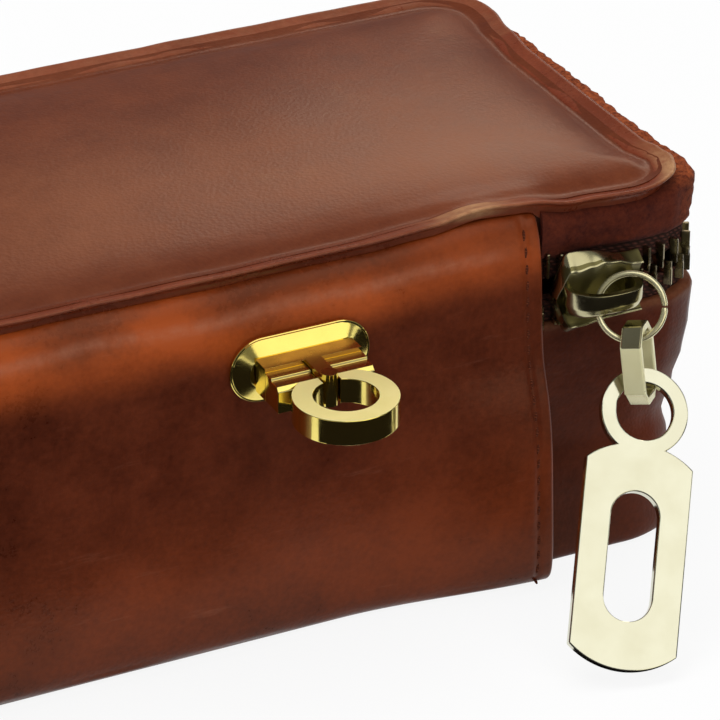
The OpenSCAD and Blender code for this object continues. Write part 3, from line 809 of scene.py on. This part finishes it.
def wall_face(s, t):
    """The base leather's outer line, as (offset, height): from its folded top edge down and under."""
    offset, z = through(((0.15, 44.5), (0.35, 46), (1.15, 46.4), (1.75, 45.6), (1.8, 44), (1.7, 36),
                         (1.7, 28), (1.7, 20), (2.2, 12), (2.9, 6), (3.3, 2.4), (2.8, 0.5),
                         (0.6, 0.05), (-9, 0)), t)
    if z > 30:
        z += 1.4 * ease((along(s) - 112.5) / 6) * ease((z - 30) / (WALL_TOP - 30))
    # The flare fades out under the base, and most of it behind the fold.
    share = ease((offset + 9.0) / 9.0) if t > 0.23 else 1 - 0.75 * ease((1.6 - offset) / 1.4)
    out = offset - waist(s, z) + flare(s, z) * share
    # However far it sinks in, the leather stays outside the board.
    if 3 < z < WALL_TOP - 2:
        out = max(out, 0.8)
    return out, z


def make_base_wall():
    """The base's leather: folded over at the top, soft in the middle, turned under at the bottom."""
    start = HALF_FLAP + 0.4

    def place(u, v):
        s = start + v * (RIM - 2 * start)
        point = sheet_section(lambda t: wall_face(s, t), WALL_THICK, u, 0.02)
        bump = rough(on_rim(s, 0, point.y), 17, 0.4) * ease(point.y / 8) * ease((WALL_TOP - point.y) / 6)
        return on_rim(s, point.x + bump, max(point.y, 0.0))
    bm = closed_skin(place, 120, 420)
    obj = add_piece(bm, "base_wall_leather_soft", [DARK_HIDE], "base", "leather", 60)
    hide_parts("base_wall_leather")
    # Painted highlight: the folded top edge, which faces up to the light, is made lighter in the worn
    # colour.
    store_lightening(obj, lambda p: 0.35 * ease((p.z - 44.2) / 1.5))


def flap_face(x, t):
    """The flap's outer line at x, as (y, z): from under the base, round the bottom and up over the top."""
    middle = ((-37.6, 0.5), (-40.6, 0.3), (-43.8, 0.35), (-45.4, 1.2), (-46.3, 3.2), (-46.6, 6.5),
              (-46.7, 12), (-46.7, 20), (-46.5, 30), (-46.2, 40), (-45.95, 47), (-45.9, 52),
              (-45.7, 56.5), (-45.1, 60.2), (-44, 63), (-42.5, 65.4), (-40.6, 67))
    end = ((-37.6, 0.5), (-41, 0.3), (-45.2, 0.15), (-48.6, 0.6), (-50.1, 2.4), (-50.6, 6), (-50.6, 11),
           (-50.3, 18), (-49.9, 26), (-48.6, 34), (-46.2, 41), (-45.2, 47), (-44.7, 52), (-44.4, 56.5),
           (-43.9, 60.6), (-43.1, 63.6), (-41.9, 65.8), (-40.2, 67.1))
    share = ease((abs(x) - 52) / 40)
    y0, z0 = through(middle, t)
    y1, z1 = through(end, t)
    y = y0 + (y1 - y0) * share
    z = z0 + (z1 - z0) * share
    lift = 0.5 * ease((z - 58) / 6) * welt_rise(abs(x))
    return y, z + lift


def flap_point(x, u):
    """A point on the flap: thinner at its two ends, grooved under the stitches, uneven in front."""
    depth = (abs(x) - (HALF_FLAP - 0.9)) / 0.9
    shrink = 1 - math.sqrt(max(0.04, 1 - max(0.0, depth) ** 2))
    y, z = sheet_section(lambda t: flap_face(x, t), FLAP_THICK, u, 0.02)
    if 0.02 < u < 0.48:
        y += shrink * FLAP_THICK / 2
    if 0.52 < u < 0.98:
        y -= shrink * FLAP_THICK / 2
    if 0.1 < u < 0.46:
        y += 0.32 * bell(abs(x), STITCH_X, 0.6)
        y += rough((x, 0, z), 22, 0.5) + rough((x, 9, z), 7, 0.08)
    return Vector((x, y, max(z, 0.0)))


def make_flap():
    """The drop-down front: rolled in at the top, curled under at the bottom, hinged by its own leather."""
    def place(u, v):
        w = 2 * v - 1
        x = math.copysign(HALF_FLAP * (1 - (1 - abs(w)) ** 1.8), w)
        return flap_point(x, u)
    bm = closed_skin(place, 140, 180)
    obj = add_piece(bm, "front_flap_leather", [FRONT_HIDE], None, "leather", 60)
    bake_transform(obj, "base", "flap", start=(0, -0.0425, 0.0004), end=(0, -0.0462, 0.006))
    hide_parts("front_flap", "flap_backing", "flap_root")

    def roll_highlight_and_edge(p):
        # Painted highlight: a thin line in the worn colour along the roll, where the light catches its turn.
        # The lighter cut ends are the flap's own edge.
        painted_highlight = 0.42 * bell(p.z, 62.2 + rough((p.x, 5, 0), 20, 0.8), 0.9) if p.y < -42 else 0.0
        return painted_highlight * ease((88 - abs(p.x)) / 10) + ease((abs(p.x) - 89.1) / 0.8) * 0.2
    store_lightening(obj, roll_highlight_and_edge)

    def stretched_and_lit(p):
        # Painted light: the upper roll, which faces up to the light, is made lighter in the stretch colour,
        # partly as pulled-up leather. The band low down is painted bounce light from the floor.
        low = 51.5 + 2.0 * ease((abs(p.x) - 50) / 25)
        top = ease((p.z - low) / 8) * ease((68.5 - p.z) / 1.5)
        uneven = 0.85 + rough((p.x, 0, p.z * 2), 14, 0.7)
        return top * uneven * (1 - 0.35 * ease((abs(p.x) - 52) / 22)) + 0.22 * bell(p.z, 14, 12)
    store_lightening(obj, stretched_and_lit, "stretch")


def make_flap_stitches():
    """One row of thread near each end of the flap."""
    whole = bmesh.new()
    steps = 400
    path = [flap_point(STITCH_X, 0.03 + 0.42 * i / steps) for i in range(steps + 1)]
    travelled = 0.0
    marks = []
    for a, b in zip(path, path[1:]):
        before = travelled
        travelled += (b - a).length
        if int(travelled / STITCH_PITCH) > int(before / STITCH_PITCH) and a.z > 0.6:
            marks.append((a, (b - a).normalized()))
    for at, run in marks:
        for side in (-1, 1):
            made = bmesh.ops.create_uvsphere(whole, u_segments=8, v_segments=6, radius=1)
            verts = made["verts"]
            bmesh.ops.scale(whole, vec=(0.3, 0.24, 0.95), verts=verts)
            turn = Vector((0, 0, 1)).rotation_difference(Vector((side * 0.12, run.y, run.z)))
            bmesh.ops.rotate(whole, cent=(0, 0, 0), matrix=turn.to_matrix(), verts=verts)
            bmesh.ops.translate(whole, vec=(side * at.x, at.y + 0.02, at.z), verts=verts)
    obj = add_piece(whole, "flap_stitches", [THREAD], None, "leather", 180)
    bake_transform(obj, "base", "flap", start=(0, -0.0425, 0.0004), end=(0, -0.0462, 0.006))


def make_base_bottom():
    """The leather under the base, inside the turned-in walls."""
    bm = rectangle((2 * (HALF_W - 4), 67), (0, 3.2, 0.35))
    made = bmesh.ops.extrude_face_region(bm, geom=bm.faces[:])
    bmesh.ops.translate(bm, verts=new_verts(made), vec=(0, 0, 1.05))
    upright = [e for e in bm.edges if abs(e.verts[0].co.z - e.verts[1].co.z) > 0.5]
    soften(bm, upright, 6, 8)
    face_outward(bm)
    obj = add_piece(bm, "base_bottom_leather", [DARK_HIDE], "base", "leather", 30)
    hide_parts("bottom_leather")


def make_hinge_leather():
    """The strip that crosses the back and both back corners, with a crease at the hinge."""
    face = ((1.2, 62.4), (1.9, 60), (2, 56.5), (1.75, 53.8), (1.35, 52.5), (1.75, 51.2), (2, 48.5),
            (1.9, 45.4), (1.2, 43))
    start = ZIP_END + 0.4

    def place(u, v):
        s = start + v * (RIM - 2 * start)
        point = band_section(face, BAND_THICK, u)
        offset = point.x - 0.9 * lookup(WAIST, point.y) + rough(on_rim(s, 0, point.y), 9, 0.25)
        return on_rim(s, offset, point.y)
    bm = closed_skin(place, 48, 260)
    obj = add_piece(bm, "back_hinge_leather", [DARK_HIDE], None, "leather", 60)
    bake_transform(obj, "base", "lid", start=(0, 0.0429, 0.0485), end=(0, 0.0429, 0.0565))
    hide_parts("hinge_strip_lower", "hinge_strip_upper")


# ---- zips

def make_tooth():
    """One tooth: a tall thin plate clamped on the tape, with a narrower locking head, pointing up."""
    bm = block((0.6, 1.5, 3), (0, -1.6, -2.6))
    for height, wide, deep in ((0.35, 0.8, 0.8), (1.2, 1.1, 1.1)):
        top = [f for f in bm.faces if f.normal.z > 0.9]
        made = bmesh.ops.extrude_face_region(bm, geom=top)
        head = new_verts(made)
        bmesh.ops.translate(bm, vec=(0, 0, height), verts=head)
        bmesh.ops.scale(bm, vec=(wide, deep, 1), verts=head, space=Matrix.Translation((0, 1.8, 0)))
        bmesh.ops.delete(bm, geom=top, context="FACES_ONLY")
    soften(bm, bm.edges[:], 0.12, 1)
    face_outward(bm)
    return to_mesh(bm, "tooth")


def on_track(s, drop):
    """The place and turn of a tooth at distance s along the right-hand zip, moved up by drop."""
    x, y, nx, ny = rim(s)
    turn = math.atan2(nx, -ny)
    x += nx * flare(s)
    y += ny * flare(s)
    return Matrix.Translation((x, y, ZIP_Z + drop)) @ Matrix.Rotation(turn, 4, "Z")


def make_teeth(tooth, side, upper):
    """A row of teeth, with two at the front that the slider has parted."""
    whole = bmesh.new()
    first = ZIP_START + 5.5 + (TOOTH_PITCH / 2 if upper else 0.0)
    last = ZIP_END - 2 * TOOTH_PITCH
    count = int((last - first) / TOOTH_PITCH)
    places = [(first + i * TOOTH_PITCH, 0.0) for i in range(count + 1)]
    for s, drop in ((90.9, 2.9), (93.4, 2.4)):
        places.append((s + (0.9 if upper else 0.0), drop if upper else -drop))
    flip = Matrix.Scale(-1, 4, (0, 0, 1)) if upper else Matrix.Identity(4)
    for s, drop in places:
        before = len(whole.verts)
        whole.from_mesh(tooth)
        whole.verts.ensure_lookup_table()
        fresh = whole.verts[before:]
        bmesh.ops.transform(whole, matrix=on_track(s, drop) @ flip, verts=fresh)
    if side < 0:
        bmesh.ops.scale(whole, vec=(-1, 1, 1), verts=whole.verts)
    face_outward(whole)
    hand = hand_of(side)
    level, body = row_of(upper)
    obj = add_piece(whole, level + "_zip_teeth_" + hand, [TOOTH_METAL], body, "antique_brass", 30)
    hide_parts(level + "_teeth_" + hand)


def make_tape(side, upper):
    """The woven tape that a row of teeth is clamped to, with its thick corded edge."""
    if upper:
        face = ((0.1, 62), (0.7, 60.5), (0.85, 57.5), (0.8, 55.4), (1.15, 54.9), (0.8, 54.5))
    else:
        face = ((0.8, 50.5), (1.15, 50.1), (0.8, 49.6), (0.9, 47.6), (0.6, 45.6), (0.1, 44.2))

    def place(u, v):
        s = HALF_FLAP - 3 + v * (ZIP_END - HALF_FLAP + 3)
        point = band_section(face, TAPE_THICK, u)
        offset = point.x + rough(on_rim(s, 0, point.y), 8, 0.15) + flare(s)
        return on_rim(s, offset, point.y)
    bm = closed_skin(place, 24, 200)
    if side < 0:
        bm = mirrored(bm)
    hand = hand_of(side)
    level, body = row_of(upper)
    obj = add_piece(bm, level + "_zip_tape_" + hand, [TAPE_CLOTH], body, "zip_tape", 60)
    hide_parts(level + "_tape_" + hand)


# The slider's outline: distance along it, height above the zip's line, and depth below it.
# Its band: distance along it, and the width of the rim above the hollow.
SLIDER_LINE = ((0, 0.8, 0.9), (0.9, 3, 3.2), (1.8, 5.6, 5.6), (2.7, 7.2, 7.1), (4.3, 7.35, 7),
               (6.6, 7.1, 6.3), (9, 6.5, 5.9), (11.5, 5.6, 5.8), (14, 5.3, 5.8), (16.4, 5.4, 5.8))
SLIDER_BAND = ((0, 0.3), (2.4, 2.2), (4.2, 2.5), (7, 1.9), (9.4, 1), (12, 0.5), (14.6, 1.2),
               (16.4, 1.5))

# The slider's bridge: its line seen from above, the place along it with its half width, and its section.
BRIDGE_LINE = ((2.2, -45), (1.9, -46.6), (2.6, -48.6), (4.4, -50.1), (7.5, -50.9), (10.8, -51),
               (13, -50.5), (14.2, -49), (14.5, -47), (14.4, -45))
BRIDGE_WIDTH = ((0, 2.9), (0.22, 2.2), (0.45, 1.8), (0.8, 1.7), (1, 2.3))
BRIDGE_SECTION = ((-0.6, 1), (0.35, 1), (0.6, 0.93), (0.6, -0.1), (0.45, -0.5), (0, -1), (-0.6, -1),
                  (-0.6, 1))
SLIDER_BACK = -43.5


def slider_section(x, top, foot, u):
    """A point on the slider's shell across its length: top rim, hollow face, lower rim, flat back."""
    band = lookup(SLIDER_BAND, x)
    low = 0.5 + 0.9 * bell(x, 3.0, 2.2)
    face = ((SLIDER_BACK, top - 0.4), (-44.0, top - 0.05), (-44.5, top - 0.15), (-46.2, top - band),
            (-46.35, top - band - 0.3), (-45.75, top - band - 0.75), (-45.2, (top - band) * 0.5),
            (-45.0, 0), (-45.2, -(foot - low) * 0.5), (-45.7, -foot + low + 0.7),
            (-46.3, -foot + low + 0.25), (-46.2, -foot + low), (-44.8, -foot + 0.1), (-44.0, -foot),
            (SLIDER_BACK, -foot + 0.4))
    if u < 0.8:
        return through(face, u / 0.8)
    return SLIDER_BACK, (-foot + 0.4) + (top + foot - 0.8) * (u - 0.8) / 0.2


def slider_finish(face):
    """The slider is dark in the hollow of its face and on top of its hood, and bright elsewhere."""
    middle = face.calc_center_median()
    hollow = -46.15 < middle.y < -44.2 and abs(middle.z - ZIP_Z) < 5.6 and face.normal.y < -0.3
    hood = middle.y < -46.3 and face.normal.z > 0.4 and middle.z < ZIP_Z + 3
    return 1 if hollow or (hood and abs(middle.x) > ZIP_START + 4.2) else 0


def make_slider(side):
    """The zip slider: a hollow-faced shell with a flared rim, and the hood-shaped bridge for the pull."""
    def shell(u, v):
        x, top, foot = through(SLIDER_LINE, v)
        y, z = slider_section(x, top, foot, u)
        return Vector((ZIP_START + x, y, ZIP_Z + z))

    def bridge(u, v):
        x, y = through(BRIDGE_LINE, v)
        x1, y1 = through(BRIDGE_LINE, min(1.0, v + 0.01))
        x0, y0 = through(BRIDGE_LINE, max(0.0, v - 0.01))
        run = Vector((x1 - x0, y1 - y0)).normalized()
        deep, across = through(BRIDGE_SECTION, u)
        z = ZIP_Z - 0.05 + across * lookup(BRIDGE_WIDTH, v)
        return Vector((ZIP_START + x + run.y * deep, y - run.x * deep, z))
    whole = closed_skin(shell, 110, 64)
    join(whole, closed_skin(bridge, 56, 60))
    flange = block((12.4, 2.6, 1), (ZIP_START + 7.6, -43.3, ZIP_Z - 5.2))
    soften(flange, flange.edges[:], 0.3, 2)
    join(whole, flange)
    if side < 0:
        whole = mirrored(whole)
    face_outward(whole)
    for face in whole.faces:
        face.material_index = slider_finish(face)
    hand = hand_of(side)
    body = "zip_slider_" + hand
    obj = add_piece(whole, "zip_slider_shell_" + hand, [BRASS, DARK_BRASS], body, "antique_brass", 32)
    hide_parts("slider_" + hand)


def make_jump_ring(side):
    """The wire ring of the pull, with the joint where its ends meet."""
    centre = Vector((103.5, -50.3, 50.65))
    turn = Matrix.Rotation(math.radians(-26), 4, "Z") @ Matrix.Rotation(math.radians(-28.5), 4, "X")
    gap = math.radians(1.6)
    radius = 5.6

    def place(u, v):
        a = gap + (2 * math.pi - 2 * gap) * v
        b = 2 * math.pi * u
        near = min(a, 2 * math.pi - a)
        wire = 0.55 * (1 - 0.35 * bell(near, 0, math.radians(2.2)))
        r = radius + wire * math.cos(b)
        return centre + turn @ Vector((r * math.cos(a), wire * math.sin(b), r * math.sin(a)))
    bm = closed_skin(place, 12, 96)
    if side < 0:
        bm = mirrored(bm)
        face_outward(bm)
    hand = hand_of(side)
    obj = add_piece(bm, "pull_wire_ring_" + hand, [WIRE_GOLD], "pull_ring_" + hand, "gold", 50)
    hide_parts("jump_ring_" + hand)


def make_zips():
    """Both zips, each with two rows of teeth on their tapes, a slider and its ring."""
    tooth = make_tooth()
    for side in (1, -1):
        for upper in (False, True):
            make_teeth(tooth, side, upper)
            make_tape(side, upper)
        make_slider(side)
        make_jump_ring(side)


# ---- hard parts and the ring rolls

def ring_satin_and_painted_light(face):
    """The flat ring is satin on top. The treads above it get a brown gold, a painted reflection of the
    leather, and their small risers the satin gold, a painted highlight.
    """
    middle = face.calc_center_median()
    if abs(face.normal.z) > 0.95:
        return 1 if middle.y < CHEEK_FRONT else 2
    return 1 if face.normal.y < -0.9 and middle.y > CHEEK_FRONT and middle.z > TREAD_LOW else 0


def stadium(half, r, v, full_r):
    """A point on an outline with two straights and round ends of radius r, spaced as if r were full_r."""
    run = v * (4 * half + 2 * math.pi * full_r)
    if run < 2 * half:
        return run - half, r
    run -= 2 * half
    if run < math.pi * full_r:
        a = math.pi / 2 - run / full_r
        return half + r * math.cos(a), r * math.sin(a)
    run -= math.pi * full_r
    if run < 2 * half:
        return half - run, -r
    a = -math.pi / 2 - (run - 2 * half) / full_r
    return -half + r * math.cos(a), r * math.sin(a)


def make_lock_plate(hand):
    """A lock's raised plate: a thin rim, a sloped face turned with fine lines, a hole for the spindle."""
    low, high = [Vector(corner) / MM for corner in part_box("lock_plate_" + hand)]
    middle = (low + high) / 2
    back, front = high.y, low.y
    full_r = (high.z - low.z) / 2
    half = (high.x - low.x) / 2 - full_r
    hole_r = 1.75
    lines = 8
    slope = [(0.0, back), (0.0, back - 0.35), (0.12, back - 0.45), (0.35, back - 0.45)]
    for i in range(lines + 1):
        share = i / lines
        slope.append((0.4 + 2.6 * share, back - 0.5 + (front + 0.55 - back) * share - 0.012 * (i % 2)))
    slope += [(3.05, front + 0.02), (3.3, front)]

    def place(u, v):
        step = u * (len(slope) + 2)
        if step <= len(slope) - 1:
            inset, y = through(slope, step / (len(slope) - 1))
            x, z = stadium(half, full_r - inset, v, full_r)
        else:
            x, z = stadium(half, full_r, v, full_r)
            away = math.hypot(x, z)
            x, z = hole_r * x / away, hole_r * z / away
            y = front if step < len(slope) + 0.5 else back
            if step > len(slope) + 1.5:
                x, z = stadium(half, full_r, v, full_r)
        return Vector((middle.x + x, y, middle.z + z))
    bm = skin(place, len(slope) + 2, 160)
    face_outward(bm)
    body = body_of(frame["nodes"]["lock_plate_" + hand])[0]
    obj = add_piece(bm, "lock_plate_turned_" + hand, [GOLD], body, "gold", 12)
    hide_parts("lock_plate_" + hand)


def post_painted_reflection(face):
    """The post's top faces get a brown gold, a painted reflection of the leather."""
    return 1 if face.normal.z > 0.95 else 0


def link_painted_light(face):
    """Painted light on the link: its sideways faces are a pale satin copy that shows lighter, and the faces
    that look up or down are darker brass.
    """
    return 1 if abs(face.normal.z) < 0.5 else 0


# Parts shown as the CAD has them: name, width of their softened edges, segments, slot, materials, and the
# function that picks each face's material, which on the locks and the link paints light and reflections.
LOCK_AND_PULL_PARTS = (
    ("turn_ring", 0.13, 3, "gold", (GOLD, SATIN_AND_HIGHLIGHT_GOLD, PAINTED_REFLECTION_GOLD), ring_satin_and_painted_light),
    ("lock_post", 0.15, 3, "gold", (GOLD, PAINTED_REFLECTION_GOLD), post_painted_reflection),
    ("link", 0.3, 3, "gold", (BRASS, LIT_PALE_SATIN), link_painted_light),
    ("tag", 0.22, 3, "gold", (PALE_GOLD,)),
    ("keeper", 0.15, 2, "gold", (GOLD,)),
    ("back_plate", 0.15, 2, "gold", (GOLD,)),
    ("lock_rivets", 0.1, 2, "gold", (GOLD,)))
SINGLE_PARTS = (
    ("zip_end_stops", 0.3, 2, "antique_brass", (BRASS,)),
    ("base_shell", 0.4, 2, "board", (BOARD,)),
    ("base_lining", 0.3, 2, "suede", (LINING,)),
    ("long_divider", 0.6, 3, "suede", (LINING,)),
    ("cross_dividers", 0.6, 3, "suede", (LINING,)),
    ("lid_board", 0.4, 2, "board", (BOARD,)),
    ("lid_lining", 0.3, 2, "suede", (LINING,)),
    ("lid_apron", 0.5, 3, "suede", (SUEDE,)),
    ("mirror_frame", 0.4, 3, "leather", (DARK_HIDE,)),
    ("lid_mirror", 0.2, 2, "mirror", (GLASS,)))


def make_hard_parts():
    """The locks, the zip pulls and end stops, the boards, the linings, the dividers and the mirror."""
    for hand in ("right", "left"):
        make_lock_plate(hand)
        for part, *look in LOCK_AND_PULL_PARTS:
            bevelled_part(part + "_" + hand, *look)
    for part, *look in SINGLE_PARTS:
        bevelled_part(part, *look)


def make_ring_rolls():
    """Padded rolls that grip rings between them, each with a sewn end."""
    low, high = [Vector(corner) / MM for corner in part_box("ring_rolls")]
    middle = (low + high) / 2
    half = (high - low) / 2
    count = 8
    left = 3.0
    pitch = (HALF_W - 2 * left) / count
    whole = bmesh.new()
    for i in range(count):
        x_mid = left + pitch / 2 + i * pitch

        def place(u, v):
            w = 2 * v - 1
            w = math.copysign(1 - (1 - abs(w)) ** 2, w)
            plump = max(0.02, 1 - abs(w) ** 9) ** 0.5
            plump *= 1 - 0.05 * math.cos(w * math.pi)
            a = 2 * math.pi * u
            x, z = math.cos(a), math.sin(a)
            radius = half.z * plump * (1 + rough((x * 4 + x_mid, w * 12, z * 4), 4, 0.05))
            return Vector((x_mid + x * radius, middle.y + w * half.y, middle.z + z * radius))
        join(whole, closed_skin(place, 28, 30))
    face_outward(whole)
    obj = add_piece(whole, "ring_rolls_padded", [LINING], "base", "suede", 60)
    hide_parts("ring_rolls")


# ---- camera, floor and lights

def make_camera():
    """A long lens, to the left of the case's front and above it."""
    data = bpy.data.cameras.new("camera")
    data.lens = 225
    data.sensor_width = 36
    data.clip_start = 0.01
    data.clip_end = 20
    camera = add_object("camera", data)
    right = Vector((0.89879, -0.43837, 0))
    up = Vector((0.20917, 0.42887, 0.87882))
    ahead = Vector((0.38525, 0.78988, -0.47716))
    turn = Matrix((right, up, -ahead)).transposed().to_4x4()
    camera.matrix_world = Matrix.Translation((-0.2275, -0.62603, 0.40034)) @ turn
    bpy.context.scene.camera = camera


def seen_directly(tree):
    """1 where the camera, a reflection or glass looks straight at the surface, and 0 for soft light."""
    path = node(tree, "ShaderNodeLightPath")
    seen = math_node(tree, "MAXIMUM", path.outputs["Is Camera Ray"], path.outputs["Is Glossy Ray"])
    return math_node(tree, "MAXIMUM", seen, path.outputs["Is Transmission Ray"])


def flat_board(name, size, middle, material):
    """A level board for the studio, with its width and depth and its middle in millimetres."""
    bm = rectangle(size, middle)
    bmesh.ops.scale(bm, vec=(MM, MM, MM), verts=bm.verts)
    obj = add_object(name, to_mesh(bm, name))
    obj.data.materials.append(material)
    return obj


def only_in_reflections(card):
    """Leaves a card for reflections alone to see."""
    card.visible_camera = False
    card.visible_diffuse = False
    card.visible_shadow = False
    card.visible_transmission = False


# How much of the floor is plain glow, and how bright the room is for soft light and in reflections.
FLOOR_GLOW = 0.9
AMBIENT = 0.16
REFLECTED = 0.12


def make_floor():
    """A pale floor that keeps the case's shadow, seen as nearly white."""
    material, tree, shader = start_material("floor", Roughness=0.9, Base_Color=(0.8, 0.8, 0.8, 1),
                                            Specular_IOR_Level=0.0)
    glow = node(tree, "ShaderNodeEmission", Strength=1.0)
    mix = node(tree, "ShaderNodeMixShader")
    tree.links.new(math_node(tree, "MULTIPLY", seen_directly(tree), FLOOR_GLOW), mix.inputs[0])
    tree.links.new(shader.outputs[0], mix.inputs[1])
    tree.links.new(glow.outputs[0], mix.inputs[2])
    tree.links.new(mix.outputs[0], tree.nodes["Material Output"].inputs["Surface"])
    flat_board("floor", (6000, 6000), (0, 0, -0.02), material)


def make_dark_card():
    """A dark card in front for reflections alone, so that metal and leather keep their depth."""
    material = start_material("dark_card", Roughness=1.0, Base_Color=(0.012, 0.01, 0.009, 1),
                              Specular_IOR_Level=0.0)[0]
    only_in_reflections(flat_board("dark_card", (1300, 700), (-150, -424, 0.5), material))


def make_world():
    """An even room that is white for the camera and dim for everything else."""
    world = bpy.data.worlds.new("studio")
    bpy.context.scene.world = world
    world.use_nodes = True
    tree = world.node_tree
    back = tree.nodes["Background"]
    back.inputs["Color"].default_value = (1, 1, 1, 1)
    path = node(tree, "ShaderNodeLightPath")
    bounced = math_node(tree, "MAXIMUM", path.outputs["Is Glossy Ray"], path.outputs["Is Transmission Ray"])
    level = math_node(tree, "MAXIMUM", path.outputs["Is Camera Ray"],
                      math_node(tree, "MULTIPLY", bounced, REFLECTED))
    tree.links.new(math_node(tree, "MAXIMUM", level, AMBIENT), back.inputs["Strength"])


def add_softbox(name, place, target, size, power):
    """A soft light that reflections do not see, with its sizes in metres and its power in watts."""
    data = bpy.data.lights.new(name, "AREA")
    data.shape = "RECTANGLE"
    data.size = size[0]
    data.size_y = size[1]
    data.energy = power
    light = add_object(name, data)
    light.location = place
    aim = Vector(target) - Vector(place)
    light.rotation_euler = aim.to_track_quat("-Z", "Y").to_euler()
    light.visible_glossy = False


def add_bright_card(name, place, size, colour, strength):
    """A glowing card, in metres, aimed at the case for reflections alone to see."""
    material, tree = start_material(name)[:2]
    glow = node(tree, "ShaderNodeEmission", Color=colour, Strength=strength)
    tree.links.new(glow.outputs[0], tree.nodes["Material Output"].inputs["Surface"])
    card = flat_board(name, (size[0] / MM, size[1] / MM), (0, 0, 0), material)
    aim = Vector((0.05, -0.02, 0.05)) - Vector(place)
    turn = aim.to_track_quat("-Z", "Y").to_matrix().to_4x4()
    card.data.transform(Matrix.Translation(place) @ turn)
    only_in_reflections(card)


def make_lights():
    """Soft lights from above, the front and the left, and the cards that give the metal its shine."""
    add_softbox("top_softbox", (0, 0.25, 1.2), (0.03, 0, 0.05), (1.2, 0.7), 14)
    add_softbox("key_softbox", (0.3, -0.75, 0.95), (0.05, -0.03, 0.05), (0.8, 0.5), 4)
    add_softbox("left_softbox", (-1.1, -0.5, 0.6), (0.03, -0.04, 0.04), (0.8, 0.8), 1.6)
    add_bright_card("front_card", (0.31, -0.67, 0.885), (1, 0.9), (1, 0.98, 0.92, 1), 1.35)
    add_bright_card("low_card", (0.37, -0.81, 0.17), (0.5, 0.36), (1, 0.96, 0.8, 1), 1.3)
    add_bright_card("back_card", (0.72, 0.64, 0.64), (0.7, 0.26), (1, 0.87, 0.74, 1), 2.5)


bpy.context.scene.view_settings.view_transform = "Standard"
for make in (make_camera, make_floor, make_dark_card, make_world, make_lights,
             make_lid_top, make_welt, make_gusset, make_base_wall, make_base_bottom, make_flap,
             make_flap_stitches, make_hinge_leather, make_zips, make_hard_parts, make_ring_rolls):
    make()
